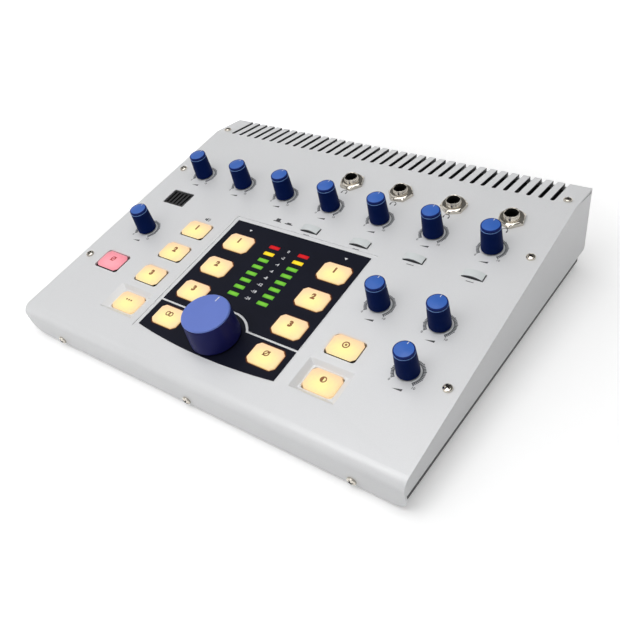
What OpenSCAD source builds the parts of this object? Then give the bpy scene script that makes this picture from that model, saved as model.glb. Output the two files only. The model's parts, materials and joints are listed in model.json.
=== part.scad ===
// Desktop studio monitor controller: a folded sheet-metal wedge with a sloping control
// panel, a slotted rear strip, turning knobs, lit push caps and jack sockets.
// Units are millimetres. +Z is up, the nose faces -Y, and the feet stand on Z = 0.

/* [Case] */
// Width of the top cover
body_w = 304.8; // [270:0.2:340]
// Length of the control panel along its slope, nose face to ridge
panel_len = 221.4; // [212:0.2:260]
// Depth of the slotted rear strip along its own slope
vent_len = 29; // [24:0.5:40]
// Rise of the control panel towards the back, in degrees
tilt = 10; // [6:0.5:14]
// Fall of the slotted strip towards the back, in degrees
vent_tilt = 4; // [0:0.5:8]
// Thickness of the folded cover sheet
sheet = 1.5; // [1:0.1:2]
// Outer radius of the nose bend
nose_r = 7; // [4:0.5:9]
// Depth of the front lip, square to the panel
lip_depth = 23; // [21:0.5:30]
// Radius of the lip's lower corners
lip_corner_r = 9; // [4:0.5:11]
// Gap from the table to the lip
lip_clear = 2.2; // [1:0.1:4]
// Height of the side plates' lower edge above the table
side_z = 14.6; // [12:0.2:17]
// Open seam under the slotted strip at the rear
seam_gap = 1.2; // [0.6:0.1:2]
// Depth of the cover's short rear fold
rear_fold = 6; // [5:0.5:9]

/* [Tray] */
// Thickness of the tray sheet
tray_sheet = 1.2; // [1:0.1:1.6]
// Set-back of the tray walls from the cover's sides
tray_inset = 3.2; // [2:0.1:5]
// Width of the folded screw flanges
flange_w = 10.5; // [9:0.5:11]
// Free gap between cover and tray
case_gap = 0.3; // [0.1:0.05:0.6]
// Height of the rubber feet
foot_h = 4; // [3:0.5:6]
// Radius of the rubber feet
foot_r = 7; // [5:0.5:9]
// Distance from the case edges to the foot centres
foot_in = 28; // [20:1:40]

/* [Vent slots] */
// Number of slots
slot_count = 35; // [21:2:35]
// Distance from slot to slot
slot_pitch = 8; // [6:0.1:8]
// Width of a slot
slot_w = 3; // [2:0.1:3.6]
// Distance from the ridge to the slots
slot_start = 0.8; // [0.4:0.1:3]
// How far the slots run down the rear fold
slot_down = 1; // [0.5:0.1:2]

/* [Control grid] */
// Distance between columns of controls
col_pitch = 40.2; // [38:0.1:42]
// Distance between rows of lit caps
row_pitch = 24.8; // [23:0.1:26]
// First row, measured along the slope from the nose face
row_1 = 37.8; // [35:0.1:40]
// Row of the lower small knobs
level_row = 99.6; // [97:0.1:101]
// Row of the talkback microphone
mic_row = 137.1; // [134:0.1:139]
// Width of the microphone grille
grille_w = 20.2; // [16:0.1:21]
// Depth of the microphone grille, front to back
grille_d = 14.8; // [12:0.1:15.6]
// Row of the source push caps
source_row = 142.4; // [140:0.1:144]
// Row of the upper small knobs
knob_row = 167.7; // [165:0.1:170]
// Row of the phones sockets
jack_row = 196.4; // [195:0.1:198]

/* [Knobs] */
// Radius of a small knob at its foot
knob_r = 6.9; // [5.5:0.1:8]
// Radius of a small knob at its top
knob_top_r = 6.2; // [5:0.1:7.5]
// Height of a small knob
knob_h = 18.8; // [12:0.2:22]
// Radius of the main knob at its foot
big_r = 16.4; // [13:0.1:17.5]
// Radius of the main knob at its top
big_top_r = 15.4; // [12:0.1:16.5]
// Height of the main knob
big_h = 21; // [15:0.5:26]
// Air under a knob
knob_gap = 1; // [0.5:0.1:2]
// Radius of the turning shafts
shaft_r = 3; // [2.5:0.1:3.2]
// Depth of the groove round a knob
groove = 0.3; // [0.2:0.05:0.5]

/* [Push caps] */
// Sideways offset of the lit caps from the columns of knobs
lit_shift = -1; // [-1.5:0.1:1.5]
// Width of a lit cap
cap_w = 20.8; // [17:0.1:21.4]
// Depth of a lit cap
cap_d = 15; // [12:0.1:15.6]
// Corner cut of a lit cap
cap_corner = 2.4; // [1:0.1:3.5]
// Height of a lit cap above the panel
cap_rise = 1.5; // [1:0.1:3]
// Thickness of a lit cap
cap_h = 4.2; // [3.4:0.1:4.6]
// Gap round a lit cap
cap_gap = 0.45; // [0.3:0.05:0.7]
// Gap round the red cap
red_gap = 1.1; // [0.4:0.1:1.3]
// Travel of a lit cap
cap_travel = 1.2; // [0.6:0.1:1.4]
// Radius of a cap's plunger
stem_r = 2; // [1.5:0.1:2.5]
// Width of a finger well
well_w = 31; // [27:0.5:32]
// Depth of a finger well, front to back
well_d = 23; // [20:0.5:24]
// How far a finger well sinks
well_h = 3; // [2:0.1:3.2]
// Width of a source cap
src_w = 13.6; // [12:0.1:16]
// Depth of a source cap, front to back
src_d = 5.6; // [4.6:0.1:8]
// Height of a source cap's arched top
src_rise = 2.4; // [2.2:0.1:4.5]
// Height of a source cap's top at its two ends
src_ends = 0.9; // [0.3:0.1:1.5]
// Travel of a source cap
src_travel = 1.6; // [1:0.1:1.8]

/* [Meter and overlay] */
// Sideways offset of the overlay, the meter and the microphone from the columns
overlay_shift = -1.6; // [-2:0.1:2]
// Width of the black overlay
overlay_w = 111.8; // [104:0.2:113]
// Upper edge of the overlay along the slope
overlay_top = 133; // [130:0.2:134]
// Lowest point of the overlay's curved lower edge
overlay_low = 21.2; // [20:0.2:24]
// Radius of the curved lower edge
overlay_arc_r = 385; // [300:5:500]
// Thickness of the overlay
overlay_t = 0.45; // [0.3:0.05:0.6]
// Depth of the recess that holds it
recess = 0.5; // [0.45:0.05:0.7]
// Margin of the recess round the overlay
recess_margin = 3.4; // [2:0.1:4]
// Width of the dividing line in the overlay
divider_w = 1.6; // [1:0.1:2.4]
// Radius of the dividing line round the main knob
divider_r = 20.8; // [20:0.1:22]
// Lamps in each meter column
led_rows = 8; // [6:1:8]
// Distance between meter lamps
led_pitch = 6.59; // [6:0.01:6.7]
// Distance between the meter columns
led_span = 24.3; // [20:0.1:26]
// Width of a meter lamp
led_w = 8.4; // [6:0.1:8.8]
// Depth of a meter lamp, front to back
led_d = 3.1; // [2:0.1:3.4]
// Highest lamp row along the slope
led_top = 118.1; // [116:0.1:119]

/* [Sockets] */
// Bore radius of a jack socket
jack_bore_r = 3.25; // [3.2:0.01:3.35]
// Radius of a jack socket's threaded bush
bush_r = 5.1; // [4.2:0.1:5.6]
// Height of a phones bush above the panel
bush_rise = 6; // [4:0.1:6.5]
// Width across the flats of a jack nut
nut_af = 16.2; // [13:0.1:18]
// Height of a jack nut
nut_h = 3; // [2:0.1:3.4]
// Side of a jack body
jack_w = 15; // [13:0.2:16]
// Depth of a jack body behind its panel
jack_l = 23; // [20:0.5:24]
// Height of the lower row of rear sockets
rear_z1 = 22.5; // [21:0.5:24]
// Distance between the two rows of rear sockets
rear_dz = 19; // [18:0.5:20]
// Distance between columns of rear sockets
rear_pitch = 20; // [18.5:0.5:21]
// How far the longest rear socket stands out of the cover
rear_out = 8; // [6:0.5:10]
// Barrel radius of a coaxial socket
coax_r = 4.15; // [4:0.05:4.3]
// Bore radius of a coaxial socket
coax_pin_r = 1.6; // [1.55:0.05:2]
// Bore radius of the power socket
power_bore_r = 2.85; // [2.6:0.05:3]
// Width of the power rocker
rocker_w = 9.6; // [8:0.1:10]
// Radius of the power rocker about its pivots
rocker_r = 8; // [6.5:0.1:8.2]
// Swing of the power rocker to either side, in degrees
rocker_tilt = 12; // [6:1:14]

/* [Fastenings and boards] */
// Shank radius of a case screw
screw_r = 1.45; // [1.2:0.05:1.5]
// Head radius of a case screw
screw_head_r = 2.9; // [2.4:0.1:3.2]
// Distance from the cover's sides to the panel screws
screw_in = 7.5; // [7:0.1:9]
// Lower panel screws along the slope
screw_row_1 = 61.4; // [55:0.2:70]
// Upper panel screws along the slope
screw_row_2 = 168.4; // [160:0.2:175]
// Half the distance between the outer front screws
front_screw_x = 119.6; // [100:0.2:125]
// Height of the front screws above the lip's lower edge
front_screw_up = 4.4; // [4:0.1:6]
// Depth of the control board's upper face under the panel
board_drop = 14; // [13.5:0.1:15]
// Thickness of the circuit boards
board_t = 1.6; // [1.2:0.1:2]
// Height of the rear board's upper face above the table
rear_board_z = 13.6; // [12:0.1:14]

/* [Hidden] */
$fn = 64;
eps = 0.01;
run_gap = 0.05;
hole_gap = 0.25;

// Sockets on the rear panel: column number and how many stand one above the other
REAR_JACKS = [[-4, 1], [-3, 2], [-2, 2], [-1, 2], [0, 2], [1, 2], [2, 2]];
RCA_COL = 3;
POST_COL = 3.9;
POWER_COL = 5.9;
SWITCH_COL = 4.9;
// Neck of a coaxial barrel, and how far its full radius stands off the rear panel
coax_neck_r = coax_r - 0.5;
coax_lift = 0.5;

// The case profile, worked out in the Y-Z plane
nose_out = nose_r * (cos(tilt) + sin(tilt) - 1);
rear_reach = panel_len * cos(tilt) + vent_len * cos(vent_tilt) + rear_out;
corner_y = -(nose_out + rear_reach) / 2;
corner_z = lip_clear + lip_depth * cos(tilt);
half_w = body_w / 2;

function on_slope(s, n) = [
    corner_y + s * cos(tilt) - n * sin(tilt),
    corner_z + s * sin(tilt) + n * cos(tilt)
];
ridge = on_slope(panel_len, 0);
function on_strip(w, n) = [
    ridge[0] + w * cos(vent_tilt) + n * sin(vent_tilt),
    ridge[1] - w * sin(vent_tilt) + n * cos(vent_tilt)
];
// The same profile in the panel's own frame: s along the slope, n square to it
fold = tilt + vent_tilt;
function strip_pt(w, n) = [
    panel_len + w * cos(fold) + n * sin(fold),
    n * cos(fold) - w * sin(fold)
];
function mitre_pt(d) = [panel_len - d * tan(fold / 2), -d];
function panel_pt(y, z) = [
    (y - corner_y) * cos(tilt) + (z - corner_z) * sin(tilt),
    (z - corner_z) * cos(tilt) - (y - corner_y) * sin(tilt)
];
// Mitre point of the two slopes at depth d under the outer skin
function mitre(d) = [
    ridge[0] - d * (sin(vent_tilt) - sin(tilt)) / (1 + cos(tilt + vent_tilt)),
    ridge[1] - d * (cos(vent_tilt) + cos(tilt)) / (1 + cos(tilt + vent_tilt))
];
// Height of the slotted strip at y, at depth d under its outer face
function strip_z(y, d) = ridge[1] - (y - ridge[0]) * tan(vent_tilt) - d / cos(vent_tilt);
// Distance n at which the slope line through s meets the height z
function n_at(s, z) = (z - corner_z - s * sin(tilt)) / cos(tilt);
function col_x(i) = (i - 3) * col_pitch;
function lit_x(i) = col_x(i) + lit_shift;
function lamp_x(side) = overlay_shift + side * led_span / 2;
mic_x = col_x(0) + overlay_shift;
function row_s(i) = row_1 + (i - 1) * row_pitch;
function led_s(k) = led_top - k * led_pitch;

rear_edge = on_strip(vent_len, 0);
rear_y = rear_edge[0];
rear_face_y = rear_y - sheet - case_gap;
rear_in_y = rear_face_y - tray_sheet;
rear_panel_top = rear_edge[1] - rear_fold + 1.5;
skin_in = sheet + case_gap;
wall_x = half_w - tray_inset;
front_s = sheet + case_gap;
floor_z = foot_h + tray_sheet;
screw_x = half_w - screw_in;
board_x = wall_x - flange_w - 2;
board_s0 = 14;
board_s1 = jack_row - jack_w / 2 - 4;
big_s = row_s(1);
rear_z2 = rear_z1 + rear_dz;
rocker_y = rear_face_y - 1;
pivot_r = 1.5;
boss_x = 2.5 * col_pitch;
PANEL_POSTS = [
    [-boss_x, (row_s(1) + row_s(2)) / 2],
    [boss_x, (row_s(1) + row_s(2)) / 2],
    [-boss_x, source_row + 12],
    [boss_x, source_row + 12],
    [-col_pitch / 2, source_row + 12],
    [col_pitch / 2, source_row + 12]
];
REAR_POSTS = [[-120, 52], [120, 52], [-120, 9], [0, 52], [60, 52]];
switch_top = board_drop - 6;

// Places its children on the control panel, with z square to the panel
module on_panel(x, s, n = 0) {
    p = on_slope(s, n);
    translate([x, p[0], p[1]])
        rotate([tilt, 0, 0])
            children();
}

// Places its children on the slotted strip, with z square to it
module on_vent(x, w, n = 0) {
    p = on_strip(w, n);
    translate([x, p[0], p[1]])
        rotate([-vent_tilt, 0, 0])
            children();
}

// Extrudes a Y-Z outline along X from x0
module across(x0, w) {
    translate([x0, 0, 0])
        rotate([90, 0, 90])
            linear_extrude(w)
                children();
}

// Rectangle with round corners, centred
module round_rect(w, d, r) {
    square([w - 2 * r, d], center = true);
    square([w, d - 2 * r], center = true);
    for (x = [-1, 1], y = [-1, 1])
        translate([x * (w / 2 - r), y * (d / 2 - r)])
            circle(r);
}

// Rectangle with cut corners, centred
module cut_rect(w, d, c) {
    polygon([
        [-w / 2 + c, -d / 2], [w / 2 - c, -d / 2], [w / 2, -d / 2 + c], [w / 2, d / 2 - c],
        [w / 2 - c, d / 2], [-w / 2 + c, d / 2], [-w / 2, d / 2 - c], [-w / 2, -d / 2 + c]
    ]);
}

// Sloping pit: a rectangle at z = 0 drawn in to a smaller one at z = -h
module pit(w0, d0, w1, d1, h) {
    hull() {
        translate([-w0 / 2, -d0 / 2, 0])
            cube([w0, d0, eps]);
        translate([-w1 / 2, -d1 / 2, -h])
            cube([w1, d1, eps]);
    }
}

// Band of the case profile between two depths under the outer skin
module band(s0, w1, d0, d1) {
    polygon([
        on_slope(s0, -d0), mitre(d0), on_strip(w1, -d0),
        on_strip(w1, -d1), mitre(d1), on_slope(s0, -d1)
    ]);
}

// Columns and rows of the lit caps: [column, row, sunk in a well, red]
CAPS = [
    [1, 4, 0, 0], [1, 3, 0, 0], [1, 2, 0, 0], [2, 4, 0, 0], [2, 3, 0, 0], [2, 2, 0, 0],
    [2, 1, 0, 0], [4, 4, 0, 0], [4, 3, 0, 0], [4, 2, 0, 0], [4, 1, 0, 0],
    [5, 2, 0, 0], [5, 1, 1, 0], [1, 1, 1, 0], [0, 2, 0, 1]
];
// Small knobs: [column, slope position]
KNOBS = [
    [0, knob_row], [1, knob_row], [2, knob_row], [3, knob_row], [4, knob_row],
    [5, knob_row], [6, knob_row], [0, level_row], [5, level_row], [6, level_row],
    [6, row_s(2)]
];

module cap_window(extra) {
    round_rect(cap_w + 2 * extra, cap_d + 2 * extra, 2.2);
}

module overlay_outline(grow) translate([overlay_shift, 0]) {
    intersection() {
        translate([-overlay_w / 2 - grow, overlay_low - grow])
            square([overlay_w + 2 * grow, overlay_top - overlay_low + 2 * grow]);
        translate([0, overlay_low + overlay_arc_r])
            circle(overlay_arc_r + grow, $fn = 256);
    }
}

// Line that parts the overlay: straight, with an arc round the main knob
module divider() translate([overlay_shift, 0]) {
    y0 = (row_s(1) + row_s(2)) / 2 - 1.2;
    difference() {
        union() {
            translate([-overlay_w / 2 - 1, y0 - divider_w / 2])
                square([overlay_w + 2, divider_w]);
            translate([0, big_s])
                intersection() {
                    circle(divider_r + divider_w / 2);
                    translate([-divider_r - 2, y0 - divider_w / 2 - big_s])
                        square([2 * divider_r + 4, divider_r]);
                }
        }
        translate([0, big_s])
            circle(divider_r - divider_w / 2);
    }
}

// Draws a panel outline, given in x and s, as a slab from n0 up to n1
module panel_slab(n0, n1) {
    on_panel(0, 0, n0)
        linear_extrude(n1 - n0)
            children();
}

// What is cut away at a lower corner of the lip, drawn in x and n for the right side
module lip_corner() {
    r = lip_corner_r;
    difference() {
        translate([half_w - r, -lip_depth - 1])
            square([r + 1, r + 1]);
        translate([half_w - r, r - lip_depth])
            circle(r + 0.04);
    }
}

// Extrudes an outline drawn in the panel's frame along X from x0
module along(x0, w) {
    on_panel(x0, 0)
        rotate([90, 0, 90])
            linear_extrude(w)
                children();
}

// The nose bend, a quarter ring or a quarter disc
module nose_bend(inner) {
    intersection() {
        translate([nose_r, -nose_r])
            difference() {
                circle(nose_r);
                if (inner > 0)
                    circle(inner);
            }
        translate([0, -nose_r])
            square(nose_r);
    }
}

// Side plate; its rear edge stops just short of the rear fold
module side_outline() {
    edge_y = rear_y - 0.3;
    polygon([
        [nose_r, 0], [panel_len, 0], mitre_pt(sheet),
        panel_pt(edge_y, strip_z(edge_y, sheet + seam_gap)),
        panel_pt(edge_y, side_z + 1.5), panel_pt(edge_y - 1.5, side_z),
        [0, n_at(0, side_z)], [0, -nose_r], [nose_r, -nose_r]
    ]);
    nose_bend(0);
}

module case_sheet() {
    along(-half_w, body_w) {
        polygon([
            [nose_r, 0], [panel_len, 0], strip_pt(vent_len, 0),
            panel_pt(rear_y, rear_edge[1] - rear_fold),
            panel_pt(rear_y - sheet, rear_edge[1] - rear_fold),
            panel_pt(rear_y - sheet, strip_z(rear_y - sheet, sheet)),
            mitre_pt(sheet), [nose_r, -sheet]
        ]);
        nose_bend(nose_r - sheet);
        translate([0, -lip_depth])
            square([sheet, lip_depth - nose_r]);
    }
    for (x = [-half_w, half_w - sheet])
        along(x, sheet)
            side_outline();
    for (c = CAPS)
        if (c[2] == 1)
            on_panel(lit_x(c[0]), row_s(c[1]), -sheet / 2)
                pit(well_w + sheet, well_d + sheet, cap_w + 6, cap_d + 6, well_h + sheet / 2);
}

module top_cover() color("gainsboro") difference() {
    case_sheet();
    for (i = [0:slot_count - 1])
        on_vent((i - (slot_count - 1) / 2) * slot_pitch, slot_start + slot_w / 2, -sheet - slot_down)
            linear_extrude(sheet + slot_down + 1) {
                circle(slot_w / 2);
                translate([-slot_w / 2, 0])
                    square([slot_w, vent_len + 4]);
            }
    panel_slab(-recess, 1)
        overlay_outline(recess_margin);
    for (c = CAPS)
        if (c[2] == 1)
            on_panel(lit_x(c[0]), row_s(c[1]), eps)
                pit(well_w, well_d, cap_w + 3, cap_d + 3, well_h + eps);
    for (c = CAPS)
        on_panel(lit_x(c[0]), row_s(c[1]), -well_h - sheet - 2)
            linear_extrude(well_h + sheet + 4)
                cap_window(c[3] == 1 ? red_gap : (c[0] == 2 || c[0] == 4) ? cap_gap + 0.3 : cap_gap);
    for (k = KNOBS)
        on_panel(col_x(k[0]), k[1], -sheet - 2)
            cylinder(h = sheet + 4, r = shaft_r + hole_gap + 0.3);
    on_panel(0, big_s, -sheet - 2)
        cylinder(h = sheet + 4, r = shaft_r + hole_gap + 0.3);
    for (x = [-1, 1])
        panel_slab(-sheet - 2, 2)
            translate([lamp_x(x), (led_s(0) + led_s(led_rows - 1)) / 2])
                round_rect(led_w + 1, (led_rows - 1) * led_pitch + led_d + 1, 0.6);
    for (i = [3:6]) {
        on_panel(col_x(i), source_row, -sheet - 2)
            translate([-src_w / 2 - 0.4, -src_d / 2 - 0.4, 0])
                cube([src_w + 0.8, src_d + 0.8, sheet + 4]);
        on_panel(col_x(i), jack_row, -sheet - 2)
            cylinder(h = sheet + 4, r = bush_r + hole_gap);
    }
    on_panel(mic_x, mic_row, -sheet - 2)
        linear_extrude(sheet + 4)
            round_rect(grille_w + 0.6, grille_d + 0.6, 1);
    for (x = [-screw_x, screw_x]) {
        for (s = [screw_row_1, screw_row_2])
            on_panel(x, s, -sheet - 2)
                cylinder(h = sheet + 4, r = screw_r + hole_gap);
        on_vent(x, 5, -sheet - 2)
            cylinder(h = sheet + 4, r = screw_r + hole_gap);
    }
    for (x = [-front_screw_x, 0, front_screw_x])
        on_panel(x, -1, front_screw_up - lip_depth)
            rotate([-90, 0, 0])
                cylinder(h = sheet + 2, r = screw_r + hole_gap);
    for (side = [0, 1])
        on_panel(0, sheet + 1)
            mirror([side, 0, 0])
                rotate([90, 0, 0])
                    linear_extrude(sheet + 2)
                        lip_corner();
}

module tray_solid() {
    front_foot = on_slope(front_s, n_at(front_s, foot_h));
    // Floor
    translate([-wall_x, front_foot[0], foot_h])
        cube([2 * wall_x, rear_face_y - front_foot[0], tray_sheet]);
    // Front wall behind the lip
    across(-wall_x, 2 * wall_x)
        polygon([
            on_slope(front_s, n_at(front_s, foot_h)),
            on_slope(front_s, -nose_r - 2),
            on_slope(front_s + tray_sheet, -nose_r - 2),
            on_slope(front_s + tray_sheet, n_at(front_s + tray_sheet, foot_h))
        ]);
    // Rear panel
    translate([-wall_x, rear_in_y, foot_h])
        cube([2 * wall_x, tray_sheet, rear_panel_top - foot_h]);
    // Side walls and their folded flanges
    for (x = [-1, 1]) {
        across(x < 0 ? -wall_x : wall_x - tray_sheet, tray_sheet)
            polygon([
                on_slope(front_s, n_at(front_s, foot_h)), on_slope(front_s, -nose_r - 2),
                on_slope(nose_r + 2, -skin_in), mitre(skin_in),
                [rear_in_y, strip_z(rear_in_y, skin_in)], [rear_in_y, foot_h]
            ]);
        across(x < 0 ? -wall_x : wall_x - flange_w, flange_w)
            polygon([
                on_slope(nose_r + 2, -skin_in), mitre(skin_in),
                [rear_in_y, strip_z(rear_in_y, skin_in)],
                [rear_in_y, strip_z(rear_in_y, skin_in + tray_sheet)],
                mitre(skin_in + tray_sheet), on_slope(nose_r + 2, -skin_in - tray_sheet)
            ]);
    }
}

module base_tray() color("dimgray") difference() {
    tray_solid();
    for (x = [-screw_x, screw_x]) {
        for (s = [screw_row_1, screw_row_2])
            on_panel(x, s, -skin_in - tray_sheet - 1)
                cylinder(h = tray_sheet + 2, r = screw_r + run_gap);
        on_vent(x, 5, -skin_in - tray_sheet - 1)
            cylinder(h = tray_sheet + 2, r = screw_r + run_gap);
    }
    for (x = [-front_screw_x, 0, front_screw_x])
        on_panel(x, front_s - 1, front_screw_up - lip_depth)
            rotate([-90, 0, 0])
                cylinder(h = tray_sheet + 2, r = screw_r + run_gap);
    for (j = REAR_JACKS, k = [0:j[1] - 1])
        rear_hole(j[0] * rear_pitch, rear_z1 + k * rear_dz, bush_r + hole_gap);
    for (k = [0, 1])
        rear_hole(RCA_COL * rear_pitch, rear_z1 + k * rear_dz, coax_neck_r + hole_gap);
    rear_hole(POST_COL * rear_pitch, rear_z2, 2 + hole_gap);
    rear_hole(POWER_COL * rear_pitch, rear_z1, 5.5 + hole_gap);
    translate([SWITCH_COL * rear_pitch - 6.7, rear_in_y - 1, rear_z2 - 9.7])
        cube([13.4, tray_sheet + 2, 19.4]);
}

module rear_hole(x, z, r) {
    translate([x, rear_in_y - 1, z])
        rotate([-90, 0, 0])
            cylinder(h = tray_sheet + 2, r = r);
}

module control_overlay() color("#15161c") difference() {
    panel_slab(-recess, overlay_t - recess)
        overlay_outline(0);
    panel_slab(-recess - 1, 1)
        divider();
    for (c = CAPS)
        if (c[0] == 2 || c[0] == 4)
            panel_slab(-recess - 1, 1)
                translate([lit_x(c[0]), row_s(c[1])])
                    cut_rect(cap_w + 2 * cap_gap, cap_d + 2 * cap_gap, cap_corner + 0.25);
    on_panel(0, big_s, -2)
        cylinder(h = 4, r = shaft_r + hole_gap + 0.5);
    for (x = [-1, 1], k = [0:led_rows - 1])
        panel_slab(-recess - 1, 1)
            translate([lamp_x(x), led_s(k)])
                square([led_w + 0.2, led_d + 0.2], center = true);
}

module meter_lamps(k0, k1) {
    for (x = [-1, 1], k = [k0:k1])
        on_panel(lamp_x(x), led_s(k), -5)
            translate([-led_w / 2, -led_d / 2, 0])
                cube([led_w, led_d, 5]);
}

module meter_red() color("crimson") meter_lamps(0, 0);

module meter_yellow() color("gold") meter_lamps(1, 1);

module meter_green() color("limegreen") meter_lamps(2, led_rows - 1);

module meter_block() color("#202020") {
    for (x = [-1, 1])
        panel_slab(-board_drop, -5)
            translate([lamp_x(x), (led_s(0) + led_s(led_rows - 1)) / 2])
                square([led_w + 2, (led_rows - 1) * led_pitch + led_d + 3], center = true);
}

module control_board() color("darkgreen") difference() {
    panel_slab(-board_drop - board_t, -board_drop)
        translate([-board_x, board_s0])
            square([2 * board_x, board_s1 - board_s0]);
    for (p = PANEL_POSTS)
        on_panel(p[0], p[1], -board_drop - board_t - 1)
            cylinder(h = board_t + 2, r = 1.5);
}

module phones_board() color("darkgreen") difference() {
    panel_slab(-sheet - jack_l - board_t, -sheet - jack_l)
        translate([col_x(3) - 12, jack_row - 9])
            square([3 * col_pitch + 24, 18]);
    for (i = [3:6])
        on_panel(col_x(i), jack_row, -sheet - jack_l - board_t - 1)
            cylinder(h = board_t + 2, r = 1.6);
}

module rear_board() color("darkgreen") difference() {
    translate([-board_x, rear_in_y - 58, rear_board_z - board_t])
        cube([2 * board_x, 57, board_t]);
    for (p = REAR_POSTS)
        translate([p[0], rear_in_y - p[1], rear_board_z - board_t - 1])
            cylinder(h = board_t + 2, r = 1.5);
}

module pot_body(x, s) {
    on_panel(x, s, -board_drop)
        difference() {
            union() {
                translate([-4.8, -5.4, 0])
                    cube([9.6, 10.8, 6.6]);
                cylinder(h = 8.6, r = shaft_r + 1);
            }
            translate([0, 0, 1])
                cylinder(h = 10, r = shaft_r + run_gap);
        }
}

module control_pots() color("slategray") {
    for (k = KNOBS)
        pot_body(col_x(k[0]), k[1]);
    on_panel(0, big_s, -board_drop)
        difference() {
            union() {
                cylinder(h = 8, r = 8.2);
                cylinder(h = 10, r = shaft_r + 1.4);
            }
            translate([0, 0, 1])
                cylinder(h = 12, r = shaft_r + run_gap);
        }
}

// Housing of a push switch with a bore for the plunger
module switch_body(x, s, w, d) {
    on_panel(x, s, -board_drop)
        difference() {
            translate([-w / 2, -d / 2, 0])
                cube([w, d, board_drop - switch_top]);
            translate([0, 0, 1])
                cylinder(h = 8, r = stem_r + run_gap);
        }
}

module lit_switches() color("whitesmoke") {
    for (c = CAPS)
        switch_body(lit_x(c[0]), row_s(c[1]), 13, 11);
}

module source_switches() color("#303030") {
    for (i = [3:6])
        switch_body(col_x(i), source_row, 8.5, 8.5);
}

// Jack socket with its mouth up the z axis; the panel's outer face is at z = 0
module jack_socket(wall, rise) {
    difference() {
        union() {
            cylinder(h = rise, r = bush_r);
            translate([0, 0, -wall])
                cylinder(h = wall, r = bush_r);
        }
        translate([0, 0, -wall - 1])
            cylinder(h = wall + rise + 2, r = jack_bore_r);
        translate([0, 0, rise - 0.6])
            cylinder(h = 0.6 + eps, r1 = jack_bore_r, r2 = jack_bore_r + 0.6);
    }
}

module phones_jacks() color("silver") {
    for (i = [3:6])
        on_panel(col_x(i), jack_row, 0) {
            jack_socket(sheet, bush_rise);
            difference() {
                translate([-jack_w / 2, -jack_w / 2, -sheet - jack_l])
                    cube([jack_w, jack_w, jack_l]);
                translate([0, 0, -sheet - jack_l + 1.5])
                    cylinder(h = jack_l, r = jack_bore_r);
            }
        }
}

// Hexagon nut, bevelled at its top, standing on z = 0
module jack_nut() {
    difference() {
        intersection() {
            cylinder(h = nut_h, r = nut_af / 2 / cos(30), $fn = 6);
            cylinder(h = nut_h, r1 = nut_af / 2 + 3.2, r2 = nut_af / 2 - 0.9);
        }
        translate([0, 0, -1])
            cylinder(h = nut_h + 2, r = bush_r + run_gap);
    }
}

module jack_nuts() color("silver") {
    for (i = [3:6])
        on_panel(col_x(i), jack_row, 0)
            jack_nut();
    for (j = REAR_JACKS, k = [0:j[1] - 1])
        translate([j[0] * rear_pitch, rear_face_y, rear_z1 + k * rear_dz])
            rotate([-90, 0, 0])
                rotate(15)
                    jack_nut();
}

// Each socket is a solid of its own; an upper one stands on the one below it
module rear_jacks() color("#26262a") {
    for (j = REAR_JACKS, k = [0:j[1] - 1]) {
        z = rear_z1 + k * rear_dz;
        low = k == 0 ? rear_board_z : z - rear_dz + jack_w / 2 + run_gap;
        translate([j[0] * rear_pitch, rear_face_y, z])
            rotate([-90, 0, 0])
                jack_socket(tray_sheet, nut_h + 1.4);
        difference() {
            translate([j[0] * rear_pitch - jack_w / 2, rear_in_y - jack_l, low])
                cube([jack_w, jack_l, z + jack_w / 2 - low]);
            translate([j[0] * rear_pitch, rear_in_y - jack_l + 1.5, z])
                rotate([-90, 0, 0])
                    cylinder(h = jack_l, r = jack_bore_r);
        }
    }
}

// Two metal barrels in one moulded block, narrower where they pass the tray
module rca_sockets() color("#26262a") {
    x = RCA_COL * rear_pitch;
    length = rear_y + rear_out - rear_in_y + 10;
    neck = tray_sheet + coax_lift + 10;
    difference() {
        translate([x - 7, rear_in_y - 12, rear_board_z])
            cube([14, 12, rear_z2 + 8 - rear_board_z]);
        for (z = [rear_z1, rear_z2])
            translate([x, rear_in_y - 10 - run_gap, z])
                rotate([-90, 0, 0])
                    cylinder(h = 12, r = coax_neck_r + run_gap);
    }
    for (z = [rear_z1, rear_z2])
        translate([x, rear_in_y - 10, z])
            rotate([-90, 0, 0])
                difference() {
                    union() {
                        cylinder(h = neck + 1, r = coax_neck_r);
                        translate([0, 0, neck])
                            cylinder(h = length - neck, r = coax_r);
                    }
                    translate([0, 0, 2])
                        cylinder(h = length, r = coax_pin_r);
                }
}

module ground_post() color("silver") {
    translate([POST_COL * rear_pitch, rear_in_y - 5, rear_z2])
        rotate([-90, 0, 0]) {
            cylinder(h = rear_y + rear_out - 1 - rear_in_y + 5, r = 2);
            cylinder(h = 5, r = 4);
            translate([0, 0, 5 + tray_sheet])
                cylinder(h = 1.2, r = 4.6);
            translate([0, 0, 5 + tray_sheet + 1.7])
                cylinder(h = 4.6, r = 5.2);
        }
}

module power_inlet() color("#1c1c1e") {
    x = POWER_COL * rear_pitch;
    translate([x, rear_in_y, rear_z1])
        rotate([-90, 0, 0])
            difference() {
                union() {
                    translate([-7, -7, -13])
                        cube([14, 7 + rear_z1 - rear_board_z, 13]);
                    cylinder(h = tray_sheet + 1.6, r = 5.5);
                }
                translate([0, 0, -7])
                    cylinder(h = 20, r = power_bore_r);
                translate([0, 0, -11])
                    cylinder(h = 5, r = power_bore_r - 0.5);
            }
    translate([x, rear_in_y - 12, rear_z1])
        rotate([-90, 0, 0])
            cylinder(h = 4.5, r = 1);
}

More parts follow.
